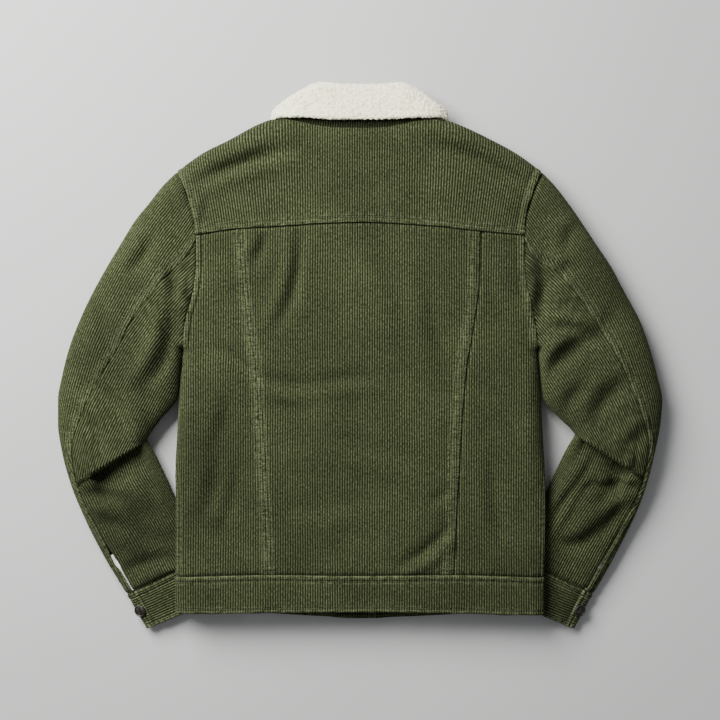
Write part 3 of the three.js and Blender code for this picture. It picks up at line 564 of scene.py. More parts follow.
def sheetFrom(name, grid, thick, outward):
    # a plain thin sheet: a grid of points and the same grid lowered along its normal, joined round the rim
    up = unit(np.cross(np.gradient(grid, axis=1), np.gradient(grid, axis=0))) * outward
    rows, cols = grid.shape[:2]
    top = np.arange(rows * cols).reshape(rows, cols)
    low = top + rows * cols
    faces = []
    for net, flip in ((top, outward < 0), (low, outward > 0)):
        cells = np.stack([net[:-1, :-1], net[:-1, 1:], net[1:, 1:], net[1:, :-1]], -1).reshape(-1, 4)
        faces.append(cells[:, ::-1] if flip else cells)
    rim = np.concatenate([top[0, :-1], top[:-1, -1], top[-1, :0:-1], top[:0:-1, 0]])
    after = np.roll(rim, -1)
    cells = np.stack([rim, rim + rows * cols, after + rows * cols, after], -1)
    faces.append(cells[:, ::-1] if outward < 0 else cells)
    u, v = np.meshgrid(np.linspace(0, 1, cols), np.linspace(0, 1, rows))
    uv = np.stack([u, v], -1).reshape(-1, 2)
    points = np.concatenate([grid.reshape(-1, 3), (grid - up * thick).reshape(-1, 3)])
    return meshFrom(name, points, np.concatenate(faces), np.concatenate([uv, uv]))


# turned profile of a button, out from its middle and up from its back: flat back, rounded rim, sunken ring,
# low crowned coin with a fine ring on it
button = {
    "around": 44,
    "lift": 0.35,            # off the cuff's outer side
    "profile": [
        (0, 0), (6.6, 0), (7.5, 0.35), (7.95, 1.1), (8.0, 1.9), (7.8, 2.7), (7.3, 3.2), (6.8, 3.35), (6.35, 3.15),
        (6.05, 2.6), (5.7, 2.45), (5.3, 2.75), (4.9, 2.9), (3.9, 3.02), (3.5, 2.9), (3.1, 3.05), (1.6, 3.14), (0, 3.16),
    ],
}
buttons = {}


def makeButton(name, centre, normal, nodeName):
    # the profile turned round the normal: each point goes out by its radius and up by its height
    profile, count = np.array(button["profile"]), button["around"]
    turn = np.linspace(0, 2 * np.pi, count, endpoint=False)
    normal = unit(np.array(normal, float))
    side = unit(np.cross(np.array([0.0, 1.0, 0.0]), normal))
    other = np.cross(normal, side)
    r, h = profile[:, 0][:, None], profile[:, 1][:, None]
    ring = np.cos(turn)[None, :, None] * side + np.sin(turn)[None, :, None] * other
    points = centre + r[..., None] * ring + h[..., None] * normal
    net = np.arange(len(profile))[:, None] * count + np.arange(count + 1)[None, :] % count
    net[0], net[-1] = 0, (len(profile) - 1) * count
    cells = np.stack([net[:-1, :-1], net[:-1, 1:], net[1:, 1:], net[1:, :-1]], -1).reshape(-1, 4)
    uv = np.stack([turn[None, :] + 0 * r, r + 0 * turn[None, :]], -1).reshape(-1, 2)
    buttons[nodeName] = meshFrom(name, points.reshape(-1, 3), cells, uv)


# Stations s run down an arm from 0 at the armhole to 20 at the cuff's end: its outer and inner edge in plan and its
# height. The seam tables are the upper seam's line in plan.
sleeveLeft = table("s outerX outerY innerX innerY height", [
    (0, -237.6, 239.6, -230.8, 6.8, 43), (1, -256, 221, -232, -3, 44.5),
    (2, -275.6, 195, -232.8, -12, 46), (3, -291, 175.5, -234, -22, 47),
    (4, -309.5, 145.5, -235, -33, 47), (5, -327.5, 115.5, -236, -44, 47),
    (6, -346, 82, -238.6, -56, 47), (7, -361.5, 49.5, -247, -68, 46.5),
    (8, -375.5, 14, -257.5, -79, 46), (9, -386, -26, -266, -90, 45.5), (10, -391.3, -56, -271, -97, 45),
    (11, -391.5, -88, -274.4, -102, 44), (12, -386.4, -125, -277, -106, 42),
    (13, -373.5, -172, -278.2, -109.2, 38), (14, -363, -199, -268, -128, 33),
    (15, -353.6, -221, -252.2, -161.2, 28), (16, -331, -265, -229, -214, 23.5),
    (17, -316.5, -290, -217, -241, 21.5), (18, -303.5, -311, -206.7, -265.2, 20.5),
    (19, -291, -334, -198, -292, 19.6), (20, -278.2, -356.2, -189.8, -318.5, 18.6),
])
sleeveRight = table("s outerX outerY innerX innerY height", [
    (0, 235.8, 239.6, 231.9, 6.8, 43), (1, 253, 221, 232.8, -3, 44.5), (2, 272, 195, 233.2, -12, 46),
    (3, 285, 175.5, 234, -22, 47), (4, 305, 145.5, 235, -33, 47), (5, 325, 115.5, 236, -44, 47),
    (6, 342.5, 82, 238.8, -56, 47), (7, 360.5, 49.5, 247, -67, 46.5), (8, 374, 14, 258, -78, 46),
    (9, 385, -26, 266, -86, 45.5), (10, 391.6, -57, 272, -91, 45), (11, 389.3, -88.4, 276, -95.5, 44),
    (12, 382.5, -124, 279, -99, 42), (13, 373, -164, 281, -102, 38), (14, 362, -197, 269, -123.5, 33),
    (15, 351, -222, 256, -151, 28), (16, 328, -268, 232, -206, 23.5),
    (17, 315.5, -290, 219, -238, 21.5), (18, 303.5, -310.5, 207, -264, 20.5),
    (19, 291, -333.6, 198, -292, 19.6), (20, 279.5, -356.2, 190, -318.5, 18.6),
])
seamLeft = table("x y", [
    (-205, 155), (-221, 146.9), (-245.7, 123.5), (-265.2, 85.8), (-289.9, 55.9), (-313.3, 10.4),
    (-341.9, -33.8), (-364, -85.8), (-371.8, -109.2), (-375.7, -140.4), (-365.3, -172.9),
    (-353.6, -202.8), (-335.8, -235), (-298.4, -303.6), (-294, -312),
])
seamRight = table("x y", [
    (205, 157), (234, 135), (252.2, 117), (282.1, 78), (310.7, 35.8), (334.1, -2), (350.4, -37.7),
    (366.6, -78), (375, -112), (374.5, -140), (366, -168), (354, -198), (336.1, -230), (296.4, -301.6),
    (291, -312),
])
sleeve = {
    "pleatStation": 13.0,    # the elbow pleat, and how far it moves the top layer up and down the arm
    "pleatRise": 2.0,
    "pleatReach": 12.0,
    "pocket": 9.0,           # hollow below the pleat
    "foldGain": 1.15,
    "armholeGap": -1.6,
    "endStation": 17.992,
    "ventOpen": {"left": 4.5, "right": 1.6},
    "ventBow": {"left": (4.2, 16.22, 0.34), "right": (1.5, 16.45, 0.22)},   # how far the vent's edge bows, where, over what
    "lining": {"from": 15.95, "to": 17.95, "under": 9, "past": 4, "below": 3.6, "thick": 1.0},
}
cuff = {
    "start": 18.006, "end": 20, "overlapFrom": 0.36, "overlapTo": 0.13,
    "tuck": 4.1,             # how far the hidden end goes in
    "girth": 52,             # wales' places along it
    "buttonStation": 19.0, "buttonShare": 0.055,
}
# centre and radius of the wales' rings in plan, mirrored to each side, and the line beside the forearm
grain = {
    "inner": (-150, -275, 620), "edge_left": (-243, -203, 653.6), "edge_right": (-277.5, -223.4, 691.3),
    "lowX": 373.0, "lowY": -172.0, "lowNormal": (0.889, 0.459),
}


def makeSleeve(side):
    # rings from the armhole to the cuff: s along the arm, and the angle from the outer edge over the top to the inner edge
    # and back below
    left = side == "left"
    rings, seam = (sleeveLeft, seamLeft) if left else (sleeveRight, seamRight)
    gap = -sleeve["armholeGap"] if left else sleeve["armholeGap"]
    down = np.array([0.55, -0.835]) if left else np.array([-0.56, -0.835])
    outward = -1 if left else 1

    def shareOn(i):
        # how far across ring i, from its outer edge, the seam's line crosses it: the two lines' crossing by determinants
        ox, oy = rings["outerX"][i], rings["outerY"][i]
        dx, dy = rings["innerX"][i] - ox, rings["innerY"][i] - oy
        ex, ey = np.diff(seam["x"]), np.diff(seam["y"])
        rx, ry = seam["x"][:-1] - ox, seam["y"][:-1] - oy
        det = dx * ey - dy * ex
        w, e = (rx * ey - ry * ex) / det, (rx * dy - ry * dx) / det
        return np.clip(w[np.argmin(np.maximum(0, np.maximum(-e, e - 1)))], 0.02, 0.9)

    seams = {"s": rings["s"], "share": np.array([shareOn(i) for i in range(len(rings["s"]))])}
    seams["share"][0] = 0.36

    def point(s, angle, fold, folds=True):
        # plan along the ring's line; height by a flattened round; the pleat shifts the top layer along the arm and steps it
        # down; near the armhole it turns into the body's own two layers
        w = (1 - np.cos(angle)) / 2
        top = np.sin(angle) >= 0
        near = 1 - ease(s / 2.6)
        outerX, outerY, innerX, innerY = (read(rings, "s", k, s) for k in ("outerX", "outerY", "innerX", "innerY"))
        y = mix(outerY, innerY, w)
        x = mix(outerX, innerX, w)
        straight = mix(rings["outerX"][0], rings["innerX"][0], w)
        curved = read(armhole, "y", side, np.clip(mix(rings["outerY"][0], rings["innerY"][0], w), 8, 239))
        x = x + near * ((curved - straight) * np.sin(np.pi * np.clip(w, 0, 1)) ** 0.25 + gap)
        full = (1 - np.abs(np.cos(angle)) ** 4) ** 0.5
        share = ease((w - 0.22) / 0.1) * (1 - ease((w - 0.86) / 0.12)) * top
        level = np.where(fold < 0.5, mix(45.5, 39.2, ease((fold - 0.1) / 0.3)), mix(39.2, 34, ease((fold - 0.6) / 0.3)))
        pleated = share * np.exp(-(((s - sleeve["pleatStation"]) / 2.4) ** 4))
        height = mix(read(rings, "s", "height", s), level, pleated)
        turn = np.sin(2 * np.pi * fold)
        slide = share * np.where(turn > 0, sleeve["pleatRise"], sleeve["pleatReach"]) * turn
        x, y = x + down[0] * slide, y + down[1] * slide
        hollow = sleeve["pocket"] * (1 + 0.9 * bell(w, 0.36, 0.13)) * share * ease((fold - 0.55) / 0.3)
        height = height - hollow * bell(np.maximum(s, 13.25), 13.25, 1.0)
        z = height / 2 + np.where(top, height / 2, cloth["ribHeight"] - height / 2) * full
        low = np.minimum(y, body["underarmY"])
        high, under = backHigh(x, y), frontLow(x, y)
        inFrom = (y - low) * body["armholeSlope"] + (read(bodySide, "y", side, low) - (x - gap)) * outward
        roll = rollOver(inFrom, body["sideRoll"]) * rollOver(w * np.hypot(innerX - outerX, innerY - outerY), 25)
        joined = body["edgeGap"] + ((high - under) / 2 - body["edgeGap"]) * roll
        z = mix(z, (high + under) / 2 + np.where(top, 1, -1) * joined, near)
        if folds:
            z = z + sleeve["foldGain"] * foldHeight(x, y) * full ** 2 * top * ease((20.4 - s) / 1.4)
        return np.stack([x, y, z], -1)

    pleatAt, pleatLong = sleeve["pleatStation"] - 0.25, 0.5
    turns = 0.28   # the pleat's share of the rows
    before = pleatAt / 18 * (1 - turns)

    def arm(v):
        # station and turn of the pleat by the share of the rows: straight above it, through it, straight below
        f = (v - before) / turns
        rest = (v - before - turns) / (1 - before - turns)
        above = 0.02 + (pleatAt - 0.02) * v / before
        below = pleatAt + pleatLong + (sleeve["endStation"] - pleatAt - pleatLong) * rest
        return np.where(v < before, above, np.where(f < 1, pleatAt + pleatLong * f, below)), np.clip(f, 0, 1)

    def seamAngle(s):
        # angle at which the upper seam lies
        return np.arccos(1 - 2 * read(seams, "s", "share", s))

    def lowSeam(s):
        # the same below
        return 2 * np.pi - seamAngle(s) * 0.85 - 0.25

    def opening(s):
        # how far the vent gapes: smooth steps and a bell
        steps = 0.1 * ease((s - 15.4) / 0.3) + 0.1 * ease((s - 16.6) / 0.3) * ease((17.9 - s) / 0.6)
        return steps + 0.32 * bell(s, 16.4, 0.3)

    def turnBy(s, angle, mm):
        # the angle that moves a point by so many mm: the distance over the length of a small turn
        e = 0.01
        return mm * 2 * e / np.linalg.norm(point(s, angle + e, 0 * s, False) - point(s, angle - e, 0 * s, False), axis=-1)

    def underFrom(v):
        s = arm(v)[0]
        return seamAngle(s) + turnBy(s, seamAngle(s), halfGap + sleeve["ventOpen"][side] * opening(s))

    def underTo(v):
        s = arm(v)[0]
        return lowSeam(s) - turnBy(s, lowSeam(s), halfGap)

    def outerFrom(v):
        s = arm(v)[0]
        return lowSeam(s) - 2 * np.pi + turnBy(s, lowSeam(s), halfGap)

    def outerTo(v):
        # over the under sleeve as far as the vent, then back with a bow
        s, over = arm(v)[0], 1.1
        bow, at, reach = sleeve["ventBow"][side]
        off = over - (over + halfGap) * ease((s - 15) / 0.4) - bow * bell(s, at, reach)
        return seamAngle(s) + turnBy(s, seamAngle(s), off)

    def depthIn(p, bend, share):
        # how far in from the wale at the outer edge: rings round a far centre above the elbow, straight below it
        upper = bend[2] - np.hypot(p[..., 0] - bend[0] * outward, p[..., 1] - bend[1])
        normalX, normalY = grain["lowNormal"]
        low = (p[..., 0] * outward - grain["lowX"]) * -normalX + (p[..., 1] - grain["lowY"]) * normalY
        return mix(upper, low, share)

    def besideEdge(angle, v):
        # outer panel: wales beside the arm's outer edge, going on below it as in a mirror
        s = arm(v)[0]
        flat, edge = point(s, angle, 0 * s, False), point(s, 0 * angle, 0 * s, False)
        share = ease((s - 10.5) / 4)
        here, turned = (depthIn(p, grain[f"edge_{side}"], share) for p in (flat, edge))
        lift = arcOf(flat) - arcOf(flat[..., :2])
        lift = lift - np.take_along_axis(lift, np.argmin(np.abs(angle), 1)[:, None], 1)
        return np.where(angle < 0, 2 * turned - here, here) + lift

    def onGrain(angle, v):
        # inner panel: its own grain, going on past the inner edge as in a mirror
        s, fold = arm(v)
        flat, edge = point(s, angle, fold, False), point(s, 0 * angle + np.pi, fold, False)
        share = np.where(fold > 0, ease((fold - 0.25) / 0.5), 0)
        here, turned = (depthIn(p, grain["inner"], share) for p in (flat, edge))
        level = point(s, angle, 0 * s, False)
        return np.where(angle > np.pi, 2 * turned - here, here) + arcOf(level) - arcOf(level[..., :2])

    def pointAt(angle, v):
        # the sleeve's own surface at a row
        s, fold = arm(v)
        return point(s, angle, fold)

    head = rowsFor(420.0, 7.4)
    head = head[head < 0.985] * before
    pleat = before + turns * np.linspace(0, 1, 19)[:-1]
    tail = rowsFor(150.0, 7.0)
    tail = before + turns + (1 - before - turns) * np.concatenate([[0], tail[tail > 0.04]])
    rows = np.concatenate([head, pleat, tail])
    tag = side[0]
    pieces[f"sleeve_under_{side}"] = ribbed(
        f"sleeve_top_{tag}", pointAt, onGrain, underFrom, underTo, rows, ("tucked", "tucked", "joined", "plain"), outward)
    pieces[f"sleeve_outer_{side}"] = ribbed(
        f"sleeve_side_{tag}", pointAt, besideEdge, outerFrom, outerTo, rows, ("tucked", "tucked", "plain", "over"), outward)

    # lining behind the open vent: a strip beside the seam, lowered by the sleeve's wall
    lining = sleeve["lining"]
    u, v = np.meshgrid(np.linspace(0, 1, 13), np.linspace(0, 1, 25))
    s = mix(lining["from"], lining["to"], v)
    off = mix(-lining["under"], sleeve["ventOpen"][side] + lining["past"], u)
    strip = point(s, seamAngle(s) + turnBy(s, seamAngle(s), off), 1 + 0 * s)
    strip[..., 2] -= lining["below"] - 0.35 * np.sin(v * 25) * np.sin(u * 3.1)
    pieces[f"vent_lining_{side}"] = sheetFrom(f"lining_{tag}", strip, lining["thick"], outward)

    def cuffPoint(s, v):
        # once round the arm and past its own start
        return point(s, mix(cuff["overlapFrom"], 2 * np.pi + np.arccos(1 - 2 * cuff["overlapTo"]), v), 1 + 0 * s)

    def cuffAt(s, v):
        # a band round the wrist whose one end is sunk along its normal, under the other
        e = 1e-3
        normal = np.cross(cuffPoint(s, v + e) - cuffPoint(s, v - e), cuffPoint(s + e, v) - cuffPoint(s - e, v))
        return cuffPoint(s, v) - unit(normal) * outward * (cuff["tuck"] * (1 - ease((v - 0.03) / 0.09)))[..., None]

    def cuffWales(s, v):
        # wales round the arm: the same share of the cuff's width on every row
        arc = arcOf(cuffAt(s, v))
        return (arc / arc[:, -1:] - 1) * cuff["girth"]

    rows = np.unique(np.concatenate([np.linspace(0, 0.12, 9), rowsFor(270.0, 5.6)]))
    pieces[f"cuff_{side}"] = ribbed(
        f"wrist_{tag}", cuffAt, cuffWales, lambda v: cuff["start"] + 0 * v, lambda v: cuff["end"] + 0 * v, rows,
        ("plain", "edge", "over", "edge"), -outward)

    s, angle = np.array(cuff["buttonStation"]), np.array(np.arccos(1 - 2 * cuff["buttonShare"]))
    pressed, e = np.array(1.0), 0.01
    centre = point(s, angle, pressed, False)
    normal = np.cross(point(s, angle + e, pressed, False) - point(s, angle - e, pressed, False),
                      point(s + e, angle, pressed, False) - point(s - e, angle, pressed, False))
    normal = unit(normal) * (1 if normal[2] > 0 else -1)
    makeButton(f"button_wrist_{tag}", centre + normal * button["lift"], normal, f"cuff_button_{side}")


makeSleeve("left")
makeSleeve("right")
for i in range(1, 7):
    low, high = (np.array(c) * 1000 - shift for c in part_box(f"front_button_{i}"))
    centre = np.array([(low[0] + high[0]) / 2, (low[1] + high[1]) / 2, high[2]])
    makeButton(f"button_front_{i}", centre, (0, 0, -1), f"front_button_{i}")
print("sleeves, cuffs and buttons made")

# neck edge, folded edge and outer edge of the collar, from the middle of the back round to the front
collarPath = table("t neckX neckY neckZ foldX foldY foldZ edgeX edgeY edgeZ", [
    (0, 0, 297.6, 30, 0, 351.5, 27, 0, 308, 47.5), (1, 48, 301.4, 30, 50, 354, 27, 48, 308.8, 47.5),
    (2, 78, 307.4, 29, 75, 345, 26, 80, 311.2, 46), (3, 92, 309.4, 26, 97, 328, 24, 104, 311.5, 38),
    (4, 97, 309, 22, 108, 319.5, 19, 116, 307, 22), (5, 105, 294.5, 20, 99, 311, 11, 116, 292, 3),
    (6, 80.5, 258.5, 20, 73, 270, 11, 110, 246, 1.6), (7, 53, 233.6, 20, 44, 244, 11, 90, 206, 1.6),
    (8, 24, 219, 20, 15, 228, 11, 60, 178, 1.6),
])
collar = {
    "pile": 6.0,             # thickness of the fleece
    "foldRadius": 9.0,
    "bendFrom": 0.38,        # shares of the section where the stand leg ends and the fall leg starts
    "bendTo": 0.62,
    "curl": 4.4,             # from curl to curl
    "curlHeight": 2.2,
    "grid": 1.45,            # between rings of points
    "points": (34, 22, 36, 8),   # along the stand leg, the bend, the fall leg and half a rounded edge
}
# three directions for the jitter of the curls
curlJitter = ((12.9898, 78.233, 37.719), (39.346, 11.135, 83.155), (73.156, 52.235, 9.151))


def collarFrame(t):
    # neck edge, folded edge and outer edge of the collar at t, and the half round that joins its two legs
    w, sign = np.abs(t), np.where(t < 0, -1, 1)
    neck, fold, edge = (np.stack([sign * read(collarPath, "t", k + "X", w), read(collarPath, "t", k + "Y", w),
                                  read(collarPath, "t", k + "Z", w)], -1) for k in ("neck", "fold", "edge"))
    follow = mix(read(backTop, "x", "y", neck[..., 0]) + body["seamGap"], neck[..., 1], ease(w - 2))
    neck[..., 1] = np.where(w < 3, follow, neck[..., 1])
    out = unit(fold - (neck + edge) / 2)
    across = edge - neck
    across = unit(across - out * (across * out).sum(-1, keepdims=True))
    return neck, edge, out, across, fold - out * collar["foldRadius"]


def collarPoint(t, v):
    # straight stand leg, half round, straight fall leg
    neck, edge, out, across, centre = collarFrame(t)
    r, v, start, end = collar["foldRadius"], v[..., None], collar["bendFrom"], collar["bendTo"]
    a = np.pi * (np.clip(v, start, end) - start) / (end - start) - np.pi / 2
    stand = mix(neck, centre - across * r, np.clip(v / start, 0, 1))
    fall = mix(centre + across * r, edge, np.clip((v - end) / (1 - end), 0, 1))
    bend = centre + out * r * np.cos(a) + across * r * np.sin(a)
    return np.where(v < start, stand, np.where(v > end, fall, bend))


def curls(p, size):
    # rounded knobs with grooves between, from the distances to the nearest two of a jittered lattice of points
    cell = np.floor(p / size)
    best = np.full(p.shape[:-1], 9.0)
    second = best.copy()
    for corner in np.ndindex(3, 3, 3):
        c = cell + np.array(corner) - 1
        n = [np.modf(np.abs(np.sin(c @ np.array(w)) * 43758.5453))[0] for w in curlJitter]
        d = np.linalg.norm(p / size - c - np.stack(n, -1), axis=-1)
        second = np.minimum(second, np.maximum(d, best))
        best = np.minimum(best, d)
    return np.clip(1.15 - best, 0, 1) ** 0.8 * 0.6 + np.clip(second - best, 0, 0.5) * 0.8


def makeCollar():
    # a closed soft section carried along the collar: outer face, rounded edge, inner face, rounded edge
    thick = collar["pile"] / 2
    start, end = collar["bendFrom"], collar["bendTo"]
    standCount, bendCount, fallCount, capCount = collar["points"]
    legs = np.concatenate([np.linspace(0, start, standCount)[:-1], np.linspace(start, end, bendCount)[:-1],
                           np.linspace(end, 1, fallCount)])
    cap = np.linspace(0, 1, capCount)[1:-1]
    v = np.concatenate([legs, np.ones(len(cap)), legs[::-1], np.zeros(len(cap))])
    phi = np.pi * np.concatenate([0 * legs, cap, 1 + 0 * legs, 1 + cap])
    dense = np.linspace(-8, 8, 801)
    spine = collarPoint(dense, 0.55 + 0 * dense)
    run = np.concatenate([[0], np.cumsum(np.linalg.norm(np.diff(spine, axis=0), axis=1))])
    count = int(run[-1] / collar["grid"])
    t = np.interp(np.linspace(0, run[-1], count), run, dense)
    fromEnd = np.minimum(np.linspace(0, run[-1], count), np.linspace(run[-1], 0, count))
    swell = np.sqrt(np.clip(1 - (1 - np.clip(fromEnd / 4, 0.03, 1)) ** 2, 0.02, 1))[:, None, None]
    t, v2 = t[:, None] + 0 * v[None, :], v[None, :] + 0 * t[:, None]
    e = 1e-3
    vLow, vHigh = np.clip(v2 - e, 0, 1), np.clip(v2 + e, 0, 1)
    dt = collarPoint(t + e * 4, v2) - collarPoint(t - e * 4, v2)
    dv = collarPoint(t, vHigh) - collarPoint(t, vLow)
    normal = unit(np.cross(dv, dt))
    normal = normal * np.where((normal * collarFrame(t)[2]).sum(-1, keepdims=True).mean() < 0, -1, 1)
    tangent = unit(dv)
    base = collarPoint(t, v2) - normal * thick
    c, s = np.cos(phi)[None, :, None], np.sin(phi)[None, :, None]
    way = normal * c + tangent * s
    knob = curls(base + way * thick, collar["curl"])
    soft = 0.35 * np.sin(base[..., 0] / 9 + base[..., 1] / 13) + 0.3 * np.sin(base[..., 1] / 7 - base[..., 0] / 17)
    grid = base + way * (thick * swell + (collar["curlHeight"] * (knob - 0.55) + soft)[..., None] * swell)
    uv = np.stack([t, knob], -1)
    rows, cols = grid.shape[:2]
    net = np.arange(rows)[:, None] * cols + np.arange(cols + 1)[None, :] % cols
    faces = [np.stack([net[:-1, :-1], net[:-1, 1:], net[1:, 1:], net[1:, :-1]], -1).reshape(-1, 4)]
    mates = (2 * len(legs) + len(cap) - 1 - np.arange(cols)) % cols
    k = np.arange(len(legs) + len(cap) // 2 - 1)
    for row, flip in ((0, True), (rows - 1, False)):
        cells = np.stack([k, k + 1, mates[k + 1], mates[k]], -1) + row * cols
        faces.append(cells[:, ::-1] if flip else cells)
    piece = meshFrom("fleece_collar", grid.reshape(-1, 3), np.concatenate(faces), uv.reshape(-1, 2))
    mesh = piece.data
    work = bmesh.new()
    work.from_mesh(mesh)
    bmesh.ops.holes_fill(work, edges=[edge for edge in work.edges if edge.is_boundary])
    bmesh.ops.recalc_face_normals(work, faces=work.faces)
    work.to_mesh(mesh)
    work.free()
    mesh.polygons.foreach_set("use_smooth", np.ones(len(mesh.polygons), bool))
    print(f"fleece_collar: {len(mesh.polygons)} faces, {run[-1]:.0f} mm round")
    return piece


pieces["collar_sherpa"] = makeCollar()

stand = {
    "reach": 113, "under": -5,   # to each side, and below the yoke's neck edge
    "over": (14, 1.4),       # above it, at the middle and at the ends
    "sunk": (3.3, 2.2),      # below the back layer, likewise
    "taperFrom": 84, "taperOver": 26, "rows": 9,
}


def standAt(x, v):
    # the corduroy stand: a strip from under the yoke's neck edge to under the fall, following the yoke's roll at its ends
    end = ease((np.abs(x) - stand["taperFrom"]) / stand["taperOver"])
    y = yokeTop(x) + mix(stand["under"], mix(*stand["over"], end), v)
    z = bodyZ(x, yokeTop(x) - 0.5, 1, False) - mix(*stand["sunk"], end) + v * (1 - end)
    return np.stack([x, y, z], -1)


def standWales(x, v):
    # wales by the length along the strip, from its middle
    arc = arcOf(standAt(x, v))
    return arc - arc[:, -1:] / 2


pieces["collar_stand"] = ribbed(
    "neck_band", standAt, standWales, lambda v: -stand["reach"] + 0 * v, lambda v: stand["reach"] + 0 * v,
    np.linspace(0, 1, stand["rows"]), ("plain", "plain", "plain", "plain"), 1)
print("collar made")

# distance of the thread from each kind of seam's edge, as its sunk line
thread = {
    "length": 2.7, "gap": 0.9, "radius": 0.36,
    "rise": [0.15, 0.62, 0.62, 0.15],   # off the cloth, from one end of a bit to the other
    "over": 7.2, "felled": 5.4, "edge": 5.5, "wideNear": 2.0, "wideFar": 11.5,
}
# the four edges of a panel: start and end of its rows, and the low and high side
startEdge, endEdge, lowEdge, highEdge = range(4)


def threadLine(name, end, kind):
    # points and normals on a panel at the thread's distance from one of its four edges, read between its rows or columns
    panel = skins[name]
    skin, up, far, d = panel["skin"], panel["up"], panel["far"][end], thread[kind]
    rows, cols = far.shape
    if end in (startEdge, endEdge):
        order = np.arange(rows) if end == startEdge else np.arange(rows)[::-1]
        c = np.arange(panel["first"][order[0]], panel["last"][order[0]] + 1)
        i = np.array([np.interp(d, far[order, k], np.arange(rows)) for k in c])
        i = i if end == startEdge else rows - 1 - i
        a = np.clip(np.floor(i).astype(int), 0, rows - 2)
        f = (i - a)[:, None]
        return mix(skin[a, c], skin[a + 1, c], f), up[a, c]
    index = np.stack([np.interp(d, far[r] if end == lowEdge else far[r][::-1], np.arange(cols)) for r in range(rows)])
    index = index if end == lowEdge else cols - 1 - index
    a = np.clip(np.floor(index).astype(int), 0, cols - 2)
    r, f = np.arange(rows), (index - a)[:, None]
    return mix(skin[r, a], skin[r, a + 1], f), up[r, a]


def stitches(name, lines):
    # bits of thread laid end to end with small gaps: a six-sided tube with pointed ends, arched a little off the cloth
    allPoints, allFaces, count, around = [], [], 0, 6
    each = 2 * around + 2   # points a bit: two rings and two tips
    turn = np.linspace(0, 2 * np.pi, around, endpoint=False)
    k, n = np.arange(around), (np.arange(around) + 1) % around
    tipFrom = np.stack([0 * k, 1 + n, 1 + k, 1 + k], -1)
    tube = np.stack([1 + k, 1 + n, 1 + around + n, 1 + around + k], -1)
    tipTo = np.stack([each - 1 + 0 * k, 1 + around + k, 1 + around + n, 1 + around + n], -1)
    faces = np.concatenate([tipFrom, tube, tipTo])
    for points, ups in lines:
        run = np.concatenate([[0], np.cumsum(np.linalg.norm(np.diff(points, axis=0), axis=1))])
        starts = np.arange(1.5, run[-1] - thread["length"] - 1.5, thread["length"] + thread["gap"])
        at = starts[:, None] + thread["length"] * np.array([0, 0.2, 0.8, 1])[None, :]
        centre, up = (np.stack([np.interp(at, run, values[:, axis]) for axis in range(3)], -1) for values in (points, ups))
        up = unit(up)
        centre = centre + up * (np.array(thread["rise"])[None, :, None])
        way = unit(np.gradient(centre, axis=1))
        side = unit(np.cross(up, way))
        up = np.cross(way, side)
        spokes = np.cos(turn)[:, None] * side[:, 1:3, None] + np.sin(turn)[:, None] * up[:, 1:3, None]
        ring = centre[:, 1:3, None] + thread["radius"] * spokes
        block = np.concatenate([centre[:, :1], ring.reshape(len(starts), 2 * around, 3), centre[:, 3:]], 1)
        allFaces.append((faces[None] + each * (np.arange(len(starts))[:, None, None] + count)).reshape(-1, 4))
        allPoints.append(block.reshape(-1, 3))
        count += len(starts)
    points = np.concatenate(allPoints)
    piece = meshFrom(name, points, np.concatenate(allFaces), np.stack([points[:, 0], points[:, 1]], -1) / 3)
    print(f"{name}: {count} stitches")
    return piece


backThread = stitches("thread_back", [
    threadLine("yoke_back", startEdge, "over"), threadLine("yoke_back", lowEdge, "over"),
    threadLine("yoke_back", highEdge, "over"), threadLine("back_middle", lowEdge, "felled"),
    threadLine("back_side_l", highEdge, "felled"), threadLine("back_middle", highEdge, "wideNear"),
    threadLine("back_middle", highEdge, "wideFar"), threadLine("band_back", startEdge, "edge"),
    threadLine("band_back", endEdge, "over"),
])
frontThread = stitches("thread_front", [
    threadLine("placket", lowEdge, "edge"), threadLine("placket", highEdge, "edge"),
    threadLine("band_front_l", startEdge, "edge"), threadLine("band_front_r", startEdge, "edge"),
    threadLine("band_front_l", endEdge, "over"), threadLine("band_front_r", endEdge, "over"),
])
armThread = stitches("thread_arms", [
    threadLine("sleeve_side_l", highEdge, "over"), threadLine("sleeve_side_r", highEdge, "over"),
    threadLine("wrist_l", highEdge, "edge"), threadLine("wrist_r", highEdge, "edge"),
    threadLine("wrist_l", lowEdge, "over"), threadLine("wrist_r", lowEdge, "over"),
])


def newMaterial(name, fixed):
    # a material whose shader has fixed values on its own sockets
    material = bpy.data.materials.new(name)
    material.use_nodes = True
    tree = material.node_tree
    shader = tree.nodes["Principled BSDF"]
    for socket, value in fixed.items():
        shader.inputs[socket].default_value = value
    return material, tree, shader


def plug(tree, socket, value):
    # a number or colour is set on the socket, and another node's output is linked to it
    if isinstance(value, (int, float, tuple)):
        socket.default_value = value
    else:
        tree.links.new(value, socket)


def calc(tree, operation, a, b=None, clamp=False):
    # one sum of one or two values
    made = tree.nodes.new("ShaderNodeMath")
    made.operation, made.use_clamp = operation, clamp
    for socket, value in zip(made.inputs, (a, b)):
        if value is not None:
            plug(tree, socket, value)
    return made.outputs[0]


def blend(tree, share, a, b, kind="MIX"):
    # two colours by a share
    made = tree.nodes.new("ShaderNodeMix")
    made.data_type, made.blend_type = "RGBA", kind
    for number, value in ((0, share), (6, a), (7, b)):
        plug(tree, made.inputs[number], value)
    return made.outputs[2]


def noise(tree, vector, scale, detail=3.0, roughness=0.55):
    # uneven values around 0.5, so many a metre or a wale
    made = tree.nodes.new("ShaderNodeTexNoise")
    for socket, value in (("Vector", vector), ("Scale", scale), ("Detail", detail), ("Roughness", roughness)):
        plug(tree, made.inputs[socket], value)
    return made.outputs[0]


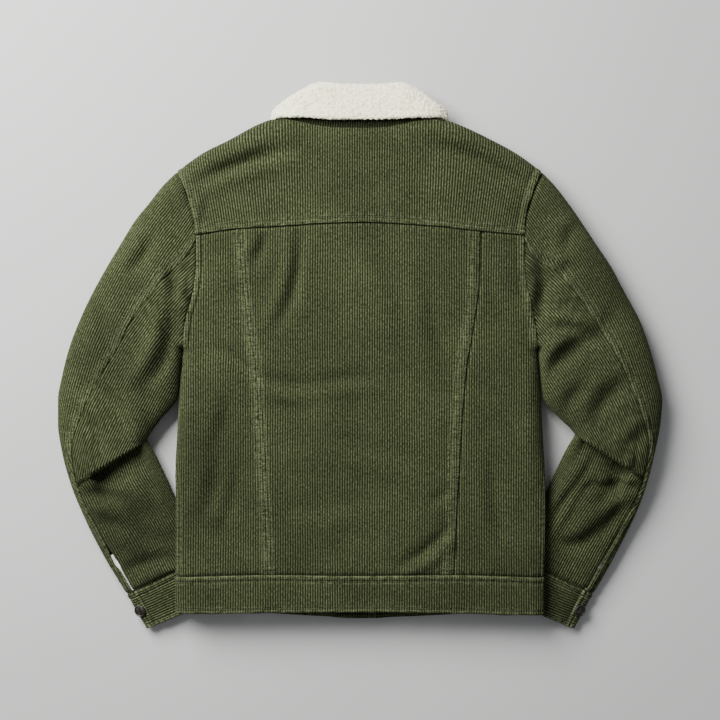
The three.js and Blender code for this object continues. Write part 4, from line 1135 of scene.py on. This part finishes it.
def scaled(tree, vector, scale):
    # a place stretched along its axes
    made = tree.nodes.new("ShaderNodeMapping")
    plug(tree, made.inputs["Scale"], scale)
    plug(tree, made.inputs["Vector"], vector)
    return made.outputs[0]


def objectPlace(tree):
    # the point's place in the object, in metres
    return tree.nodes.new("ShaderNodeTexCoord").outputs["Object"]


def waleMap(tree):
    # the piece's own map: wales across and along on cloth, place and height of the curls on fleece
    made = tree.nodes.new("ShaderNodeUVMap")
    made.uv_map = "wale"
    return made.outputs[0]


def axesOf(tree, vector):
    # the three parts of a place or map
    made = tree.nodes.new("ShaderNodeSeparateXYZ")
    tree.links.new(vector, made.inputs[0])
    return made.outputs


def markOf(tree, name):
    # a value that the mesh holds at its points
    made = tree.nodes.new("ShaderNodeAttribute")
    made.attribute_name = name
    return made.outputs["Fac"]


def addBump(tree, shader, height, distance, strength=1.0):
    # the shader's normal tilted by the slope of a height
    made = tree.nodes.new("ShaderNodeBump")
    plug(tree, made.inputs["Strength"], strength)
    plug(tree, made.inputs["Distance"], distance)
    tree.links.new(height, made.inputs["Height"])
    tree.links.new(made.outputs[0], shader.inputs["Normal"])


corduroy = {
    # colours: the groove's, the weave's own dark deepened by painted shade; the crown's, whose light is partly a
    # painted highlight; and lighter worn pile, partly a painted highlight on the crowns and beside the seams
    "grooveAndShade": (0.0024, 0.0032, 0.0011, 1), "crown": (0.025, 0.031, 0.0118, 1), "wornAndHighlight": (0.145, 0.168, 0.088, 1),
    "crownPower": 1.7,       # how narrow the light crown is
    "streak": (2.4, 0.9, 1), "pucker": (0.3, 1.1, 1),   # noise a wale, across and along
    "patch": 14.0, "fine": 900.0,   # noise a metre
    "streakWearAndHighlight": 2.2, "seamWearAndHighlight": 0.8, "patchShare": (0.55, 0.9),
    "bump": (0.0006, 0.5),
    "shader": {"Roughness": 0.95, "Specular IOR Level": 0.04, "Sheen Weight": 0.06, "Sheen Roughness": 0.6,
               "Sheen Tint": (0.6, 0.66, 0.4, 1)},
}


def corduroyMaterial(name, paintedShadeTone):
    # wale colour by the share across one wale, dark in the groove partly as painted shade, streaked pile along it,
    # patches of nap laid either way, fine fibre bump
    material, tree, shader = newMaterial(name, corduroy["shader"])
    wale, place = waleMap(tree), objectPlace(tree)
    rubAndPaintedLight, napAndPaintedLight = markOf(tree, "rubAndPaintedLight"), markOf(tree, "napAndPaintedLight")
    across = calc(tree, "FRACT", axesOf(tree, wale)[0])
    crown = calc(tree, "POWER", calc(tree, "SINE", calc(tree, "MULTIPLY", across, math.pi)), corduroy["crownPower"])
    streak = noise(tree, scaled(tree, wale, corduroy["streak"]), 1.0, 4.0, 0.65)
    pucker = noise(tree, scaled(tree, wale, corduroy["pucker"]), 1.0, 1.0, 0.5)
    patch = noise(tree, place, corduroy["patch"], 3.0, 0.6)
    fine = noise(tree, place, corduroy["fine"], 2.0, 0.6)

    # lighter where the pile is worn and where a painted highlight stands in for light: streaks on the crowns, and
    # puckered ridges beside the seams
    ridge = calc(tree, "MULTIPLY", calc(tree, "SUBTRACT", pucker, 0.38), 4.0, clamp=True)
    raised = calc(tree, "MULTIPLY", calc(tree, "MAXIMUM", rubAndPaintedLight, 0.0), ridge)
    streaked = calc(tree, "MULTIPLY", calc(tree, "SUBTRACT", streak, 0.40), crown)
    wornAndHighlight = calc(tree, "ADD", calc(tree, "MULTIPLY", streaked, corduroy["streakWearAndHighlight"]),
                calc(tree, "MULTIPLY", raised, corduroy["seamWearAndHighlight"]), clamp=True)
    colour = blend(tree, wornAndHighlight, blend(tree, crown, corduroy["grooveAndShade"], corduroy["crown"]), corduroy["wornAndHighlight"])

    # painted shade darkens the sunk stitch lines and, through the tone, the whole stand; darker too in random patches
    # of nap and in the listed spots, which are partly nap and partly painted shade
    sunk = calc(tree, "ADD", rubAndPaintedLight, 1.0, clamp=True)
    least, more = corduroy["patchShare"]
    patched = calc(tree, "ADD", calc(tree, "MULTIPLY", patch, more), least)
    # the tone darkens a whole copy of the cloth as painted shade, 1 where there is none
    dark = calc(tree, "MULTIPLY", calc(tree, "MULTIPLY", patched, sunk), paintedShadeTone)
    dark = calc(tree, "MULTIPLY", dark, calc(tree, "SUBTRACT", 1.0, napAndPaintedLight))
    grey = tree.nodes.new("ShaderNodeCombineColor")
    for socket in grey.inputs:
        tree.links.new(dark, socket)
    tree.links.new(blend(tree, 1.0, colour, grey.outputs[0], "MULTIPLY"), shader.inputs["Base Color"])
    fibres = calc(tree, "ADD", calc(tree, "MULTIPLY", streak, 0.7), fine)
    addBump(tree, shader, calc(tree, "ADD", calc(tree, "MULTIPLY", raised, 3.0), fibres), *corduroy["bump"])
    return material


fleece = {
    # the deep colour between the curls is painted shade in their hollows; the tip is the fleece's cream
    "deep": (0.52, 0.43, 0.22, 1), "tip": (1.0, 0.97, 0.70, 1),
    "fibre": 420.0, "fineFibre": 1500.0, "fibreShare": 2.4, "contrast": 1.4,
    "bump": (0.0012, 0.8),
    "shader": {"Roughness": 1.0, "Specular IOR Level": 0.1, "Sheen Weight": 0.6, "Subsurface Weight": 0.05,
               "Subsurface Radius": (0.004, 0.003, 0.002)},
}


def fleeceMaterial():
    # colour by the height of each curl, which the piece's own map holds, darker low between curls as painted shade,
    # with fine curled fibres as bump
    material, tree, shader = newMaterial("cream_fleece", fleece["shader"])
    curl, place = axesOf(tree, waleMap(tree))[1], objectPlace(tree)
    small = noise(tree, place, fleece["fibre"], 4.0, 0.65)
    uneven = calc(tree, "MULTIPLY", calc(tree, "SUBTRACT", small, 0.46), fleece["fibreShare"])
    height = calc(tree, "MULTIPLY", calc(tree, "ADD", curl, uneven), fleece["contrast"], clamp=True)
    tree.links.new(blend(tree, height, fleece["deep"], fleece["tip"]), shader.inputs["Base Color"])
    addBump(tree, shader, calc(tree, "ADD", small, noise(tree, place, fleece["fineFibre"], 2.0)), *fleece["bump"])
    return material


lining = {"light": (0.86, 0.85, 0.80, 1), "dark": (0.70, 0.69, 0.64, 1), "weave": 7000.0, "bump": 0.0002}


def liningMaterial():
    # white woven lining: crossed threads as waves on the object's own place
    material, tree, shader = newMaterial("white_lining", {"Roughness": 0.85})
    place = objectPlace(tree)
    warp, weft = (calc(tree, "SINE", calc(tree, "MULTIPLY", way, lining["weave"])) for way in list(axesOf(tree, place))[:2])
    weave = calc(tree, "MULTIPLY", warp, weft)
    tint = calc(tree, "ADD", calc(tree, "MULTIPLY", noise(tree, place, 60.0), 0.4), calc(tree, "MULTIPLY", weave, 0.12))
    tree.links.new(blend(tree, tint, lining["light"], lining["dark"]), shader.inputs["Base Color"])
    addBump(tree, shader, weave, lining["bump"])
    return material


metal = {
    "dark": (0.035, 0.034, 0.030, 1), "rubbed": (0.16, 0.15, 0.125, 1), "rubbedFrom": 0.45, "rubbedTo": 0.8,
    "roughness": 0.42, "scratches": 0.25,
}


def metalMaterial():
    # dark metal with rubbed lighter spots and fine scratches in the roughness
    material, tree, shader = newMaterial("dark_metal", {"Metallic": 1.0})
    place = objectPlace(tree)
    ramp = tree.nodes.new("ShaderNodeValToRGB")
    for stop, at, colour in zip(ramp.color_ramp.elements, ("rubbedFrom", "rubbedTo"), ("dark", "rubbed")):
        stop.position, stop.color = metal[at], metal[colour]
    tree.links.new(noise(tree, place, 260.0, 5.0, 0.7), ramp.inputs[0])
    tree.links.new(ramp.outputs[0], shader.inputs["Base Color"])
    scratch = noise(tree, scaled(tree, place, (1, 9, 1)), 700.0)
    rough = calc(tree, "ADD", calc(tree, "MULTIPLY", scratch, metal["scratches"]), metal["roughness"])
    tree.links.new(rough, shader.inputs["Roughness"])
    return material


def threadMaterial():
    # twisted olive thread: darker bands across each bit
    material, tree, shader = newMaterial("olive_thread", {"Roughness": 0.8})
    twist = noise(tree, objectPlace(tree), 2400.0, 1.0)
    tree.links.new(blend(tree, twist, (0.055, 0.064, 0.028, 1), (0.095, 0.11, 0.05, 1)), shader.inputs["Base Color"])
    return material


# the stand's copy is 0.4 as bright: painted shade for the shadow under the collar's fall
corduroyCloth, standShadedCloth = corduroyMaterial("olive_corduroy", 1.0), corduroyMaterial("olive_corduroy_stand_painted_shade", 0.4)
fleeceCloth, liningCloth, metalFinish, threadFinish = fleeceMaterial(), liningMaterial(), metalMaterial(), threadMaterial()
print("materials made")

# each piece takes its material and goes onto the root body, and the part's own piece is hidden
for nodeName, piece in pieces.items():
    if nodeName == "collar_sherpa":
        cover, slot = fleeceCloth, "sherpa"
    elif nodeName.startswith("vent_lining"):
        cover, slot = liningCloth, "lining"
    else:
        # the stand takes the darker copy, painted shade under the collar's fall
        cover, slot = standShadedCloth if nodeName == "collar_stand" else corduroyCloth, "corduroy"
    piece.data.materials.append(cover)
    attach(piece, "root")
    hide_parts(nodeName)
for nodeName, piece in buttons.items():
    piece.data.materials.append(metalFinish)
    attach(piece, "root")
    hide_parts(nodeName)
for piece in (backThread, frontThread, armThread):
    piece.data.materials.append(threadFinish)
    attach(piece, "root")
print("pieces placed on their body")

# floor, light and camera, in metres
setting = {
    "paper": [(0.435, 0.435, 0.435, 1), (0.45, 0.45, 0.45, 1)], "paperHalf": 6,
    "sky": (0.96, 0.98, 1.0, 1), "skyPower": 0.34,
    "window": {"at": (-0.98, 1.0, 1.27), "size": 1.25, "power": 128.0, "colour": (1.0, 0.99, 0.97)},
    "lens": 84.6, "distance": 2.222, "aimY": -0.0052,
}
reach = setting["paperHalf"]
mesh = bpy.data.meshes.new("floor")
mesh.from_pydata([(-reach, -reach, 0), (reach, -reach, 0), (reach, reach, 0), (-reach, reach, 0)], [], [(0, 1, 2, 3)])
floor = bpy.data.objects.new("floor", mesh)
bpy.context.collection.objects.link(floor)
material, tree, shader = newMaterial("floor_paper", {"Roughness": 0.95})
tree.links.new(blend(tree, noise(tree, objectPlace(tree), 3.0), *setting["paper"]), shader.inputs["Base Color"])
mesh.materials.append(material)

world = bpy.data.worlds.new("studio")
world.use_nodes = True
world.node_tree.nodes["Background"].inputs[0].default_value = setting["sky"]
world.node_tree.nodes["Background"].inputs[1].default_value = setting["skyPower"]
bpy.context.scene.world = world

window = setting["window"]
data = bpy.data.lights.new("window", "AREA")
data.shape, data.size, data.energy, data.color = "SQUARE", window["size"], window["power"], window["colour"]
light = bpy.data.objects.new("window", data)
light.location = window["at"]
light.rotation_euler = (-Vector(window["at"])).to_track_quat("-Z", "Y").to_euler()
bpy.context.collection.objects.link(light)

data = bpy.data.cameras.new("above")
data.lens, data.sensor_width, data.clip_end = setting["lens"], 36, 20
camera = bpy.data.objects.new("above", data)
camera.location = (shift[0] / 1000, setting["aimY"] + shift[1] / 1000, setting["distance"])
bpy.context.collection.objects.link(camera)
bpy.context.scene.camera = camera
print("floor, light and camera placed")
